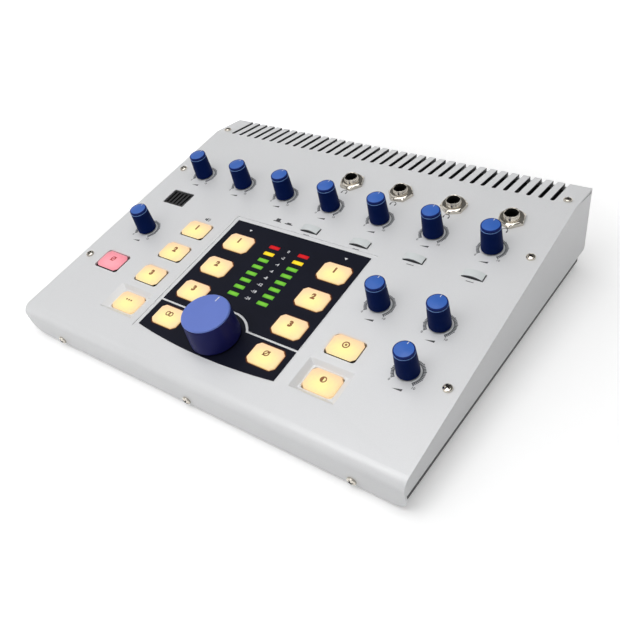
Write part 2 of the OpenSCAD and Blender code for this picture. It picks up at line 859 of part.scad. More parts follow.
module power_switch() color("#1c1c1e") {
    x = SWITCH_COL * rear_pitch;
    difference() {
        union() {
            translate([x - 6.5, rear_in_y - 13, rear_z2 - 9.5])
                cube([13, 13 + tray_sheet, 19]);
            translate([x - 7.6, rear_face_y, rear_z2 - 10.8])
                cube([15.2, 1.4, 21.6]);
        }
        // Round pocket for the rocker and the holes for its pivots
        translate([x - rocker_w / 2 - 0.1, rocker_y, rear_z2])
            rotate([0, 90, 0])
                cylinder(h = rocker_w + 0.2, r = rocker_r + 0.15);
        translate([x - rocker_w / 2 - 1.3, rocker_y, rear_z2])
            rotate([0, 90, 0])
                cylinder(h = rocker_w + 2.6, r = pivot_r + run_gap);
    }
}

// The rocker turns about X on two pivots; its lower end is pressed in at rest
module power_rocker() color("#303034") {
    x = SWITCH_COL * rear_pitch;
    across(x - rocker_w / 2, rocker_w)
        translate([rocker_y, rear_z2])
            rotate(-rocker_tilt)
                difference() {
                    circle(rocker_r);
                    for (side = [-1, 1])
                        rotate(-side * rocker_tilt)
                            translate([rocker_r * 0.45, side > 0 ? -0.3 : -rocker_r - 2])
                                square([rocker_r, rocker_r + 2.3]);
                }
    translate([x - rocker_w / 2 - 1.2, rocker_y, rear_z2])
        rotate([0, 90, 0])
            cylinder(h = rocker_w + 2.4, r = pivot_r);
}

module mic_grille() color("#18181a") difference() {
    panel_slab(-sheet, -0.3)
        translate([mic_x, mic_row])
            round_rect(grille_w, grille_d, 0.8);
    for (k = [-2:2])
        panel_slab(-sheet - 1, 1)
            translate([mic_x + k * 3.7, mic_row])
                round_rect(1.9, grille_d - 2.2, 0.9);
}

module mic_capsule() color("silver") {
    on_panel(mic_x, mic_row, -board_drop)
        cylinder(h = board_drop - 4, r = 4.8);
}

// Pan-head screw with a cross recess, head on z = 0, shank down
module pan_screw(shank_r, length, head_r, head_h) {
    difference() {
        union() {
            translate([0, 0, -length])
                cylinder(h = length + eps, r = shank_r);
            cylinder(h = head_h * 0.45, r = head_r);
            translate([0, 0, head_h * 0.45])
                cylinder(h = head_h * 0.55, r1 = head_r, r2 = head_r * 0.6);
        }
        for (a = [0, 90])
            rotate(a)
                translate([-head_r * 0.55, -0.35, head_h * 0.4])
                    cube([head_r * 1.1, 0.7, head_h]);
    }
}

module case_screws() color("silver") {
    for (x = [-screw_x, screw_x]) {
        for (s = [screw_row_1, screw_row_2])
            on_panel(x, s, 0)
                pan_screw(screw_r, 6, screw_head_r, 2);
        on_vent(x, 5, 0)
            pan_screw(screw_r, 6, screw_head_r, 2);
    }
    for (x = [-front_screw_x, 0, front_screw_x])
        on_panel(x, 0, front_screw_up - lip_depth)
            rotate([90, 0, 0])
                pan_screw(screw_r, 5, screw_head_r, 2);
}

// Flat cable from the control board's underside to the rear board
module ribbon_cable() color("lightgray") {
    top = on_slope(board_s1 - 18, -board_drop - board_t);
    y1 = rear_in_y - 54;
    across(14, 32)
        polygon([
            [top[0], top[1]], [top[0], rear_board_z + 5], [y1, rear_board_z + 5],
            [y1, rear_board_z], [y1 + 1.2, rear_board_z], [y1 + 1.2, rear_board_z + 6.2],
            [top[0] + 1.2, rear_board_z + 6.2], [top[0] + 1.2, top[1] + 1.2 * tan(tilt)]
        ]);
}

module board_posts() color("silver") {
    for (p = PANEL_POSTS)
        on_panel(p[0], p[1], -board_drop)
            difference() {
                cylinder(h = board_drop - sheet, r = 3, $fn = 6);
                translate([0, 0, -1])
                    cylinder(h = 7, r = 1.3);
            }
    for (p = REAR_POSTS)
        translate([p[0], rear_in_y - p[1], floor_z])
            difference() {
                cylinder(h = rear_board_z - board_t - floor_z, r = 3, $fn = 6);
                translate([0, 0, 1])
                    cylinder(h = 20, r = 1.3);
            }
}

module board_screws() color("silver") {
    for (p = PANEL_POSTS)
        on_panel(p[0], p[1], -board_drop - board_t)
            rotate([180, 0, 0])
                pan_screw(1.25, board_t + 4, 2.6, 1.8);
    for (p = REAR_POSTS)
        translate([p[0], rear_in_y - p[1], rear_board_z])
            pan_screw(1.25, board_t + 4, 2.6, 1.8);
}

module rubber_feet() color("#222222") {
    for (x = [foot_in - half_w, half_w - foot_in], y = [corner_y + foot_in, rear_y - foot_in])
        translate([x, y, 0]) {
            cylinder(h = 1, r1 = foot_r - 1, r2 = foot_r);
            translate([0, 0, 1])
                cylinder(h = foot_h - 1, r = foot_r);
        }
}

module relays() color("#e8e4d8") {
    for (i = [0:2])
        translate([-70 + i * 22, rear_in_y - 52, rear_board_z])
            cube([15.4, 10.2, 11]);
}

// A turned knob on its shaft: a tapered skirt, a thin groove and a crowned top
module turned_knob(r0, r1, h, mark) {
    band_z = h - 2.6;
    crown = r1 * 0.1;
    band_r = r0 + (r1 - r0) * band_z / h;
    difference() {
        union() {
            rotate_extrude()
                polygon([
                    [0, 0], [r0 - 0.3, 0], [r0, 0.3],
                    [band_r, band_z - 0.3], [band_r - groove, band_z - 0.3],
                    [band_r - groove, band_z + 0.3], [band_r, band_z + 0.3],
                    [r1, h - crown - 0.5], [r1 - 0.5, h - crown],
                    [r1 * 0.6, h - crown * 0.36], [r1 * 0.3, h - crown * 0.09], [0, h]
                ]);
            translate([0, 0, 1 - knob_gap - board_drop + 0.4])
                cylinder(h = board_drop + knob_gap, r = shaft_r);
        }
        translate([-0.4, r1 - mark, h - crown - 0.6])
            cube([0.8, mark + 1, 4]);
    }
}

module small_knob(k) {
    on_panel(col_x(KNOBS[k][0]), KNOBS[k][1], knob_gap)
        turned_knob(knob_r, knob_top_r, knob_h, 4);
}

module knob_speaker_1() color("royalblue") small_knob(0);
module knob_speaker_2() color("royalblue") small_knob(1);
module knob_speaker_3() color("royalblue") small_knob(2);
module knob_phones_1() color("royalblue") small_knob(3);
module knob_phones_2() color("royalblue") small_knob(4);
module knob_phones_3() color("royalblue") small_knob(5);
module knob_phones_4() color("royalblue") small_knob(6);
module knob_talkback() color("royalblue") small_knob(7);
module knob_cue_in() color("royalblue") small_knob(8);
module knob_cue_out() color("royalblue") small_knob(9);
module knob_dim() color("royalblue") small_knob(10);

module knob_main() color("cornflowerblue")
    on_panel(0, big_s, knob_gap)
        turned_knob(big_r, big_top_r, big_h, 6);

// A lit cap on its plunger; sunk caps stand lower in a finger well
module lit_cap(i) {
    c = CAPS[i];
    rise = cap_rise - c[2] * well_h - c[3] * 0.5;
    on_panel(lit_x(c[0]), row_s(c[1]), rise) {
        translate([0, 0, -cap_h])
            linear_extrude(cap_h - 0.6)
                cut_rect(cap_w, cap_d, cap_corner);
        translate([0, 0, -0.6])
            linear_extrude(0.6)
                cut_rect(cap_w - 0.8, cap_d - 0.8, cap_corner);
        translate([0, 0, -board_drop - rise + 1 + cap_travel + 0.3])
            cylinder(h = board_drop + rise - 1 - cap_travel - 0.3 - cap_h + eps, r = stem_r);
    }
}

module cap_speaker_1() color("moccasin") lit_cap(0);
module cap_speaker_2() color("moccasin") lit_cap(1);
module cap_speaker_3() color("moccasin") lit_cap(2);
module cap_main_1() color("moccasin") lit_cap(3);
module cap_main_2() color("moccasin") lit_cap(4);
module cap_main_3() color("moccasin") lit_cap(5);
module cap_mono() color("moccasin") lit_cap(6);
module cap_cue_1() color("moccasin") lit_cap(7);
module cap_cue_2() color("moccasin") lit_cap(8);
module cap_cue_3() color("moccasin") lit_cap(9);
module cap_mute() color("moccasin") lit_cap(10);
module cap_phono() color("moccasin") lit_cap(11);
module cap_dim() color("moccasin") lit_cap(12);
module cap_talk() color("moccasin") lit_cap(13);
module cap_red() color("lightpink") lit_cap(14);

// Source cap: an arched bar on its plunger
module source_cap(i) {
    sag = src_rise - src_ends;
    arch_r = (src_w * src_w / 4 + sag * sag) / (2 * sag);
    on_panel(col_x(i + 2), source_row, 0) {
        rotate([90, 0, 0])
            translate([0, 0, -src_d / 2])
                linear_extrude(src_d)
                    intersection() {
                        translate([0, src_rise - arch_r])
                            circle(arch_r, $fn = 128);
                        translate([-src_w / 2, -3.2])
                            square([src_w, src_rise + 4]);
                    }
        translate([0, 0, -board_drop + 1 + src_travel + 0.3])
            cylinder(h = board_drop - 1 - src_travel - 0.3 - 3.2 + eps, r = stem_r);
    }
}

module source_cap_1() color("lightgray") source_cap(1);
module source_cap_2() color("lightgray") source_cap(2);
module source_cap_3() color("lightgray") source_cap(3);
module source_cap_4() color("lightgray") source_cap(4);

top_cover();
base_tray();
control_overlay();
meter_red();
meter_yellow();
meter_green();
meter_block();
control_board();
phones_board();
rear_board();
control_pots();
lit_switches();
source_switches();
phones_jacks();
jack_nuts();
mic_grille();
mic_capsule();
case_screws();
rear_jacks();
rca_sockets();
ground_post();
power_inlet();
power_switch();
ribbon_cable();
board_posts();
board_screws();
rubber_feet();
relays();
knob_speaker_1();
knob_speaker_2();
knob_speaker_3();
knob_phones_1();
knob_phones_2();
knob_phones_3();
knob_phones_4();
knob_talkback();
knob_cue_in();
knob_cue_out();
knob_dim();
knob_main();
cap_speaker_1();
cap_speaker_2();
cap_speaker_3();
cap_main_1();
cap_main_2();
cap_main_3();
cap_mono();
cap_cue_1();
cap_cue_2();
cap_cue_3();
cap_mute();
cap_phono();
cap_dim();
cap_talk();
cap_red();
source_cap_1();
source_cap_2();
source_cap_3();
source_cap_4();
power_rocker();
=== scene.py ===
"""Looks of a desktop studio monitor controller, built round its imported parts.

Sizes inside the classes are millimetres, as in the parts; a Place turns them into the
frame's metres, with +Z up, -Y towards the user and the table at Z = 0.
"""

from __future__ import annotations

import json
import logging
import math
from dataclasses import dataclass
from enum import Enum
from typing import Any, Callable, Sequence

import bmesh
import bpy
import numpy as np
from mathutils import Matrix, Vector
from mathutils.geometry import delaunay_2d_cdt

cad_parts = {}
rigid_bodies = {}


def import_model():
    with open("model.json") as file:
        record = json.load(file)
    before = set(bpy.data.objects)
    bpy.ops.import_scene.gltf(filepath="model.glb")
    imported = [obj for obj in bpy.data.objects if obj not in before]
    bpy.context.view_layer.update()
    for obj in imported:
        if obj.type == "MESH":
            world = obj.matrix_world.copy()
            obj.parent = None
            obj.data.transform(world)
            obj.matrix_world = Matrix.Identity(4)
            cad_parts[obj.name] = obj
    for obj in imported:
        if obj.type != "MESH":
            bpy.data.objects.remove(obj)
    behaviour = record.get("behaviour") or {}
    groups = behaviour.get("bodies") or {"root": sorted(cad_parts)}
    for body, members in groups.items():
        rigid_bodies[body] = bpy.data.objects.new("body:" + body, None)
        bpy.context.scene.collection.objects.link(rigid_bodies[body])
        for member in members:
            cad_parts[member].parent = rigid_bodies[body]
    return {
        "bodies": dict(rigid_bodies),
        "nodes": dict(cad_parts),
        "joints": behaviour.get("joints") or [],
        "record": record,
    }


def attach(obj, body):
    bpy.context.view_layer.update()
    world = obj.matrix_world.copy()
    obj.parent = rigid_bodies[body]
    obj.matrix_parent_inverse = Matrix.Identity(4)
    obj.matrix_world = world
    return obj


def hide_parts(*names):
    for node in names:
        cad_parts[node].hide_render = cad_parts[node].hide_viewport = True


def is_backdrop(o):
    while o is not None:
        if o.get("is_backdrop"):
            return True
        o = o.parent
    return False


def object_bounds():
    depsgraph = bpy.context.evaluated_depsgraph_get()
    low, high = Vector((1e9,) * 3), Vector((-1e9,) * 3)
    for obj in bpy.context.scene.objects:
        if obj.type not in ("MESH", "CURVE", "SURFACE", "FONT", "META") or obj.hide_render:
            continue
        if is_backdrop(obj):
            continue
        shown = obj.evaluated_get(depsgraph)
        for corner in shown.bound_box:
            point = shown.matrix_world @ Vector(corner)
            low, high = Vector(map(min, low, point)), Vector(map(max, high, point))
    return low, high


LOG = logging.getLogger("controller")
MM = 0.001
CREASE = math.radians(30.0)
INK_LIFT = 0.03
Array = np.ndarray
Colour = tuple[float, float, float]
WHITE: Colour = (1.0, 1.0, 1.0)


# ---------------------------------------------------------------- shader maths


class Value:
    """A shader socket or a number whose operators add Math nodes to a graph."""

    def __init__(self, graph: "Graph", source: Any) -> None:
        """Wraps a source, which is a node socket or a plain number, in a graph."""
        self.graph = graph
        self.source = source

    def _math(self, operation: str, *others: Any, clamp: bool = False) -> "Value":
        """Adds one Math node.

        Args:
            operation: The node's operation.
            others: The further operands, as values or numbers.
            clamp: Whether the result is kept between 0 and 1.

        Returns:
            The node's result.
        """
        node = self.graph.add(
            "ShaderNodeMath",
            {"operation": operation, "use_clamp": clamp},
            dict(enumerate((self, *others))),
        )
        return Value(self.graph, node.outputs[0])

    def __add__(self, other: Any) -> "Value":
        """This plus another."""
        return self._math("ADD", other)

    def __sub__(self, other: Any) -> "Value":
        """This less another."""
        return self._math("SUBTRACT", other)

    def __rsub__(self, other: Any) -> "Value":
        """Another less this."""
        return Value(self.graph, other)._math("SUBTRACT", self)

    def __mul__(self, other: Any) -> "Value":
        """This times another."""
        return self._math("MULTIPLY", other)

    def __neg__(self) -> "Value":
        """This with its sign turned."""
        return self._math("MULTIPLY", -1.0)

    __radd__ = __add__
    __rmul__ = __mul__

    def clamped(self) -> "Value":
        """This, kept between 0 and 1."""
        return self._math("ADD", 0.0, clamp=True)

    def size(self) -> "Value":
        """This without its sign."""
        return self._math("ABSOLUTE")

    def most(self, other: Any) -> "Value":
        """The greater of this and another."""
        return self._math("MAXIMUM", other)

    def positive(self) -> "Value":
        """This, or 0 where it is less."""
        return self.most(0.0)

    def root(self) -> "Value":
        """The square root of this."""
        return self._math("SQRT")

    def ramp(self, low: float, high: float) -> "Value":
        """A smooth step.

        Args:
            low: Where it starts, at 0.
            high: Where it ends, at 1.

        Returns:
            The stepped value.
        """
        node = self.graph.add(
            "ShaderNodeMapRange",
            {"interpolation_type": "SMOOTHSTEP"},
            {"Value": self, "From Min": low, "From Max": high, "To Min": 0.0, "To Max": 1.0},
        )
        return Value(self.graph, node.outputs[0])


class Graph:
    """The node tree of one material or world."""

    def __init__(self, owner: bpy.types.Material | bpy.types.World) -> None:
        """Empties the owner's node tree and takes it over.

        Args:
            owner: The material or world.
        """
        self.owner = owner
        owner.use_nodes = True
        self.tree = owner.node_tree
        self.tree.nodes.clear()

    def add(self, kind: str, settings: dict[str, Any] | None = None,
            inputs: dict[Any, Any] | None = None) -> bpy.types.Node:
        """Adds any node: its settings first, then what its sockets hold.

        Args:
            kind: The node's type name.
            settings: The node's own properties.
            inputs: Socket name or number to a value, a number, a colour or a socket.

        Returns:
            The new node.
        """
        node = self.tree.nodes.new(kind)
        for key, value in (settings or {}).items():
            setattr(node, key, value)
        for key, value in (inputs or {}).items():
            self.feed(node.inputs[key], value)
        return node

    def feed(self, socket: bpy.types.NodeSocket, value: Any) -> None:
        """Links a socket to a source or sets it to a constant.

        Args:
            socket: The socket that is fed.
            value: A value, a socket, a number, a vector or a colour without alpha.
        """
        source = value.source if isinstance(value, Value) else value
        if isinstance(source, bpy.types.NodeSocket):
            self.tree.links.new(source, socket)
        elif isinstance(source, tuple) and len(source) == 3 and socket.type == "RGBA":
            socket.default_value = (*source, 1.0)
        else:
            socket.default_value = source

    def place(self, stretch: Sequence[float] = WHITE) -> bpy.types.NodeSocket:
        """Object coordinates.

        Args:
            stretch: How much they grow along each axis.

        Returns:
            The coordinates' socket.
        """
        coords = self.add("ShaderNodeTexCoord").outputs["Object"]
        mapping = self.add("ShaderNodeMapping", {}, {"Vector": coords, "Scale": tuple(stretch)})
        return mapping.outputs[0]

    def split(self, vector: bpy.types.NodeSocket) -> tuple[Value, ...]:
        """The three parts of a vector."""
        node = self.add("ShaderNodeSeparateXYZ", {}, {0: vector})
        return tuple(Value(self, socket) for socket in node.outputs)

    def uv(self) -> tuple[Value, ...]:
        """The piece's own two surface coordinates."""
        coords = self.add("ShaderNodeUVMap", {"uv_map": "surface"})
        return self.split(coords.outputs[0])[:2]

    def noise(self, scale: float, detail: float = 2.0, stretch: Sequence[float] = WHITE) -> Value:
        """Soft noise in the object's own space.

        Args:
            scale: Cells to the metre.
            detail: Octaves.
            stretch: How much finer the pattern is along each axis.

        Returns:
            The noise, about 0.5 on average.
        """
        node = self.add("ShaderNodeTexNoise", {}, {"Vector": self.place(stretch),
                                                   "Scale": scale, "Detail": detail})
        return Value(self, node.outputs[0])

    def blend(self, share: Value, first: Colour, second: Colour) -> bpy.types.NodeSocket:
        """A colour that goes from first to second by share."""
        mix = self.add("ShaderNodeMix", {"data_type": "RGBA"}, {0: share, 6: first, 7: second})
        return mix.outputs[2]

    def bump(self, height: Value, depth: float, strength: float) -> bpy.types.NodeSocket:
        """A normal bent by a height.

        Args:
            height: The relief, 0 to 1.
            depth: How deep that relief is, in metres.
            strength: Its share.

        Returns:
            The normal.
        """
        node = self.add("ShaderNodeBump", {}, {"Strength": strength, "Distance": depth,
                                               "Height": height})
        return node.outputs[0]

    def surface(self, inputs: dict[str, Any]) -> bpy.types.Material:
        """Ends the tree in a Principled surface.

        Args:
            inputs: What its sockets hold.

        Returns:
            The material.
        """
        shader = self.add("ShaderNodeBsdfPrincipled", {}, inputs)
        self.add("ShaderNodeOutputMaterial", {}, {0: shader.outputs[0]})
        return self.owner


# --------------------------------------------------------------------- finishes


def shade(colour: Colour, factor: float) -> Colour:
    """A colour made darker or lighter by a factor."""
    return tuple(min(c * factor, 1.0) for c in colour)


class Finish:
    """A way a surface is finished; its material is made once."""

    name: str
    _made: dict[str, bpy.types.Material] = {}

    def material(self) -> bpy.types.Material:
        """The material of this finish."""
        if self.name not in Finish._made:
            Finish._made[self.name] = self.dress(Graph(bpy.data.materials.new(self.name)))
        return Finish._made[self.name]

    def dress(self, graph: Graph) -> bpy.types.Material:
        """Builds the material in a graph."""
        raise NotImplementedError


@dataclass(frozen=True)
class PaintedSheet(Finish):
    """Fine-grained satin paint on sheet metal; cells are counted to the metre."""

    name: str
    colour: Colour
    roughness: float = 0.42
    grain: float = 0.06
    peel: float = 0.00002
    speckle_cells: float = 5200.0
    cloud_cells: float = 14.0
    peel_cells: float = 1400.0

    def dress(self, graph: Graph) -> bpy.types.Material:
        """Two sizes of speckle vary the tone; a soft peel bends the normal.

        Args:
            graph: The material's graph.

        Returns:
            The material.
        """
        fine = graph.noise(self.speckle_cells, 1.0)
        broad = graph.noise(self.cloud_cells)
        share = ((fine - 0.5) * 1.6 + (broad - 0.5) * 0.35 + 0.5).clamped()
        peel = graph.noise(self.peel_cells, 3.0)
        return graph.surface({
            "Base Color": graph.blend(share, shade(self.colour, 1.0 - self.grain),
                                      shade(self.colour, 1.0 + self.grain)),
            "Roughness": (broad - 0.5) * 0.10 + self.roughness,
            "Metallic": 0.12, "Coat Weight": 0.12, "Coat Roughness": 0.3,
            "Normal": graph.bump(peel, self.peel, 0.5),
        })


@dataclass(frozen=True)
class Moulded(Finish):
    """Moulded plastic or rubber with a fine texture."""

    name: str
    colour: Colour
    roughness: float = 0.4
    spread: float = 0.08
    texture: float = 900.0
    depth: float = 0.00003
    coat: float = 0.0
    shine: float = 0.5
    cloud_cells: float = 60.0

    def dress(self, graph: Graph) -> bpy.types.Material:
        """Soft clouds vary tone and gloss; a fine texture bends the normal.

        Args:
            graph: The material's graph.

        Returns:
            The material.
        """
        clouds = graph.noise(self.cloud_cells, 3.0)
        fine = graph.noise(self.texture)
        share = ((clouds - 0.5) * 1.2 + (fine - 0.5) * 0.6 + 0.5).clamped()
        return graph.surface({
            "Base Color": graph.blend(share, shade(self.colour, 1.0 - self.spread),
                                      shade(self.colour, 1.0 + self.spread)),
            "Roughness": (fine - 0.5) * 0.12 + self.roughness,
            "Coat Weight": self.coat, "Coat Roughness": 0.12, "Specular IOR Level": self.shine,
            "Normal": graph.bump(fine, self.depth, 0.6),
        })


@dataclass(frozen=True)
class Metal(Finish):
    """Plated or turned metal with fine marks."""

    name: str
    colour: Colour
    roughness: float = 0.22
    tarnish: float = 0.18
    mark_cells: float = 900.0
    cloud_cells: float = 130.0
    mark_depth: float = 0.00001

    def dress(self, graph: Graph) -> bpy.types.Material:
        """Fine marks roughen the metal; slow clouds darken it a little.

        Args:
            graph: The material's graph.

        Returns:
            The material.
        """
        marks = graph.noise(self.mark_cells, 3.0)
        clouds = graph.noise(self.cloud_cells, 3.0)
        return graph.surface({
            "Base Color": graph.blend(clouds.ramp(0.3, 0.7), self.colour,
                                      shade(self.colour, 1.0 - self.tarnish)),
            "Roughness": (marks - 0.5) * 0.16 + self.roughness,
            "Metallic": 1.0,
            "Normal": graph.bump(marks, self.mark_depth, 0.4),
        })


@dataclass(frozen=True)
class LitPlastic(Finish):
    """Translucent plastic lit from below; its surface map runs from 0 to 1 each way."""

    name: str
    heart: Colour
    edge: Colour
    body: Colour
    strength: float
    lamp_v: float = 0.34
    shine: float = 0.25
    lamp_u: float = 0.53
    cloud_cells: float = 420.0
    grain_cells: float = 2200.0

    def dress(self, graph: Graph) -> bpy.types.Material:
        """The glow falls from the heart to the edge with the distance from the lamp; the body
        colour falls with it to 0.8 of itself, as painted light from that lamp.

        The distance is the root of (1.35 (u - lamp_u))^2 + (1.45 (v - lamp_v))^2.

        Args:
            graph: The material's graph.

        Returns:
            The material.
        """
        across, up = graph.uv()
        dx = (across - self.lamp_u) * 1.35
        dy = (up - self.lamp_v) * 1.45
        far = (dx * dx + dy * dy).root()
        cloud = graph.noise(self.cloud_cells)
        share = (far + (cloud - 0.5) * 0.25).ramp(0.1, 1.0)
        fine = graph.noise(self.grain_cells)
        return graph.surface({
            # Painted light: the body colour is lighter near the lamp, with the glow.
            "Base Color": graph.blend(share, self.body, shade(self.body, 0.8)),
            "Emission Color": graph.blend(share, self.heart, self.edge),
            "Emission Strength": self.strength,
            "Roughness": (fine - 0.5) * 0.1 + 0.34,
            "Coat Weight": 0.04, "Coat Roughness": 0.25, "Specular IOR Level": self.shine,
            "Normal": graph.bump(fine, 0.00001, 0.4),
        })


@dataclass(frozen=True)
class Halo(Finish):
    """Light that leaks round a lit cap: strong at the gap, gone at the outer edge."""

    name: str
    colour: Colour
    strength: float
    weight: float

    def dress(self, graph: Graph) -> bpy.types.Material:
        """Its weight is u (1 - v)^2: v runs outwards, and u shares it out round the cap.

        Args:
            graph: The material's graph.

        Returns:
            The material.
        """
        side, out = graph.uv()
        left = (1.0 - out).clamped()
        tone = graph.noise(300.0, 1.0)
        return graph.surface({
            "Base Color": (0.0, 0.0, 0.0), "Roughness": 0.6,
            "Specular IOR Level": 0.0,
            "Emission Color": graph.blend(tone.ramp(0.2, 0.8), self.colour,
                                          shade(self.colour, 0.9)),
            "Emission Strength": self.strength,
            "Alpha": left * left * side * self.weight,
        })


@dataclass(frozen=True)
class Ink(Finish):
    """Screen-printed ink."""

    name: str
    colour: Colour

    def dress(self, graph: Graph) -> bpy.types.Material:
        """A thin even layer with a little wear in its tone.

        Args:
            graph: The material's graph.

        Returns:
            The material.
        """
        wear = graph.noise(1500.0)
        pale = tuple(c * 0.85 + 0.04 for c in self.colour)
        return graph.surface({
            "Base Color": graph.blend(wear.ramp(0.35, 0.75), self.colour, pale),
            "Roughness": (wear - 0.5) * 0.1 + 0.5,
        })


@dataclass(frozen=True)
class Board(Finish):
    """Circuit board with a solder mask and faint tracks."""

    name: str
    colour: Colour

    def dress(self, graph: Graph) -> bpy.types.Material:
        """Narrow bands of a noise stretched along Y stand for tracks under the mask.

        Args:
            graph: The material's graph.

        Returns:
            The material.
        """
        cells = graph.noise(160.0, 0.0, (1.0, 4.0, 1.0))
        track = (cells - 0.5).size().ramp(0.035, 0.02)
        return graph.surface({
            "Base Color": graph.blend(track, self.colour, shade(self.colour, 1.7)),
            "Roughness": 0.3, "Coat Weight": 0.3, "Coat Roughness": 0.15,
            "Normal": graph.bump(track, 0.00003, 0.5),
        })


SILVER = PaintedSheet("silver_paint", (0.735, 0.74, 0.75))
# The base tray's dark sheet, which shows as the black band under the side plates' bottom edges.
DARK_SHEET = PaintedSheet("dark_tray_sheet", (0.020, 0.020, 0.022), 0.55, 0.25, 0.00006)
# Painted shade: near-black paint on the vent slots' cut walls, standing in for the shade inside
# the slots.
SLOT_SHADE = PaintedSheet("slot_wall_painted_shade", (0.030, 0.030, 0.034), 0.6)
FILM = Moulded("overlay_film", (0.0055, 0.0065, 0.0150), 0.42, 0.2, 3000.0, 0.000008,
               shine=0.10)
KNOB_TOP = Moulded("knob_cap_blue", (0.034, 0.130, 0.50), 0.33, 0.09, 1600.0, 0.00001,
                   0.1, 0.4)
# Painted shade: the knob caps' rim and side band, the top's blue darkened as if out of the light.
KNOB_SIDE_SHADE = Moulded("knob_side_painted_shade", (0.003, 0.016, 0.13), 0.36, 0.05, 1600.0, 0.00001,
                    shine=0.12)
# The skirts' dark navy is partly the knobs' own colour and partly painted shade on their sides.
KNOB_SKIRT_AND_SHADE = Moulded("knob_skirt_navy_and_shade", (0.0010, 0.0090, 0.070), 0.42, 0.1, 1600.0, 0.00001,
                     shine=0.03)
# Painted highlight: the pale ring at the skirt's upper edge, lighter blue where that edge catches
# the light.
KNOB_RING_HIGHLIGHT = Moulded("knob_ring_painted_highlight", (0.16, 0.30, 0.66), 0.3, 0.05, shine=0.3)
MAIN_TOP = Moulded("main_knob_top", (0.118, 0.188, 0.58), 0.4, 0.04, 1500.0, 0.00001,
                   0.05, 0.4)
# The main skirt's dark navy is partly the knob's own colour and partly painted shade on its side.
MAIN_SKIRT_AND_SHADE = Moulded("main_knob_skirt_and_shade", (0.0105, 0.012, 0.095), 0.4, 0.1, 1500.0, 0.00001,
                     shine=0.10)
NICKEL = Metal("bright_nickel", (0.76, 0.71, 0.63), 0.07, 0.35)
STEEL = Metal("plain_steel", (0.56, 0.56, 0.57), 0.32)
BLACK = Moulded("black_plastic", (0.012, 0.012, 0.013), 0.42)
PALE = Moulded("pale_plastic", (0.62, 0.60, 0.54), 0.45)
GREY_CAP = Moulded("grey_cap", (0.66, 0.69, 0.69), 0.36, 0.04, 900.0, 0.00001, 0.1)
# Painted shade: the source caps' walls, their grey plastic darkened as if out of the light.
GREY_CAP_SHADE = Moulded("grey_cap_wall_painted_shade", (0.050, 0.052, 0.056), 0.5, 0.1, shine=0.2)
RUBBER = Moulded("foot_rubber", (0.014, 0.014, 0.014), 0.75, 0.2, 500.0, 0.00008)
RIBBON = Moulded("ribbon_insulation", (0.30, 0.30, 0.32), 0.5)
# Painted shade: the dark line round the foot of lit caps that stand out of the plain panel.
CAP_FOOT_SHADE = Moulded("cap_foot_painted_shade", (0.020, 0.010, 0.005), 0.6, 0.1, shine=0.1)
# Painted shade: the dark star that stands for the screws' cross recesses.
RECESS_SHADE = Moulded("screw_recess_painted_shade", (0.010, 0.009, 0.009), 0.6, shine=0.05)
# The sockets' black plastic body, and painted shade: the bore and the inner mouth of the bush
# kept near black.
BORE_SHADE_AND_BODY = Moulded("socket_body_and_bore_shade", (0.004, 0.004, 0.004), 0.7, shine=0.03)
BOARD = Board("solder_mask", (0.010, 0.065, 0.028))
CREAM = LitPlastic("lit_cream", (1.0, 0.93, 0.38), (0.98, 0.68, 0.42), (0.22, 0.17, 0.09), 0.86)
PINK = LitPlastic("lit_pink", (1.0, 0.42, 0.47), (0.86, 0.29, 0.35), (0.30, 0.10, 0.12), 0.80)
GREEN_LAMP = LitPlastic("lamp_green", (0.20, 0.60, 0.04), (0.09, 0.38, 0.02),
                        (0.02, 0.06, 0.01), 0.95, 0.5, 0.15)
YELLOW_LAMP = LitPlastic("lamp_yellow", (1.0, 0.80, 0.02), (0.90, 0.56, 0.01),
                         (0.10, 0.08, 0.01), 0.95, 0.5, 0.15)
RED_LAMP = LitPlastic("lamp_red", (0.72, 0.006, 0.012), (0.50, 0.003, 0.008),
                      (0.05, 0.002, 0.002), 0.95, 0.5, 0.15)
AMBER_LEAK = Halo("amber_leak", (1.0, 0.28, 0.03), 0.55, 0.6)
WARM_LEAK = Halo("warm_leak", (1.0, 0.66, 0.38), 0.95, 0.95)
PINK_LEAK = Halo("pink_leak", (1.0, 0.46, 0.50), 0.9, 0.95)
DARK_INK = Ink("dark_ink", (0.035, 0.035, 0.04))
GREY_INK = Ink("grey_ink", (0.080, 0.085, 0.098))
WHITE_INK = Ink("white_ink", (0.78, 0.79, 0.82))
BROWN_INK = Ink("brown_ink", (0.30, 0.10, 0.015))
RED_INK = Ink("red_ink", (0.50, 0.012, 0.022))


# ----------------------------------------------------------- places and shapes


@dataclass(frozen=True)
class Place:
    """Where a shape goes: its origin and its three axes in the frame."""

    origin: Array
    axes: Array

    def apply(self, points: Array) -> Array:
        """Local points in millimetres as frame points in metres: origin + points x axes."""
        return (self.origin + points @ self.axes) * MM

    def local(self, points: Array) -> Array:
        """Frame points in millimetres as local ones: (points - origin) x axes turned back."""
        return (points - self.origin) @ self.axes.T


def leaning(x: float, y: float, z: float, angle: float) -> Place:
    """A place at (x, y, z) whose second axis rises from +Y by an angle.

    Its axes are (1, 0, 0), (0, cos a, sin a) and (0, -sin a, cos a).

    Args:
        x: Its X, in millimetres.
        y: Its Y.
        z: Its Z.
        angle: The angle a, in radians.

    Returns:
        The place.
    """
    c, k = math.cos(angle), math.sin(angle)
    return Place(np.array([x, y, z]), np.array([[1.0, 0.0, 0.0], [0.0, c, k], [0.0, -k, c]]))


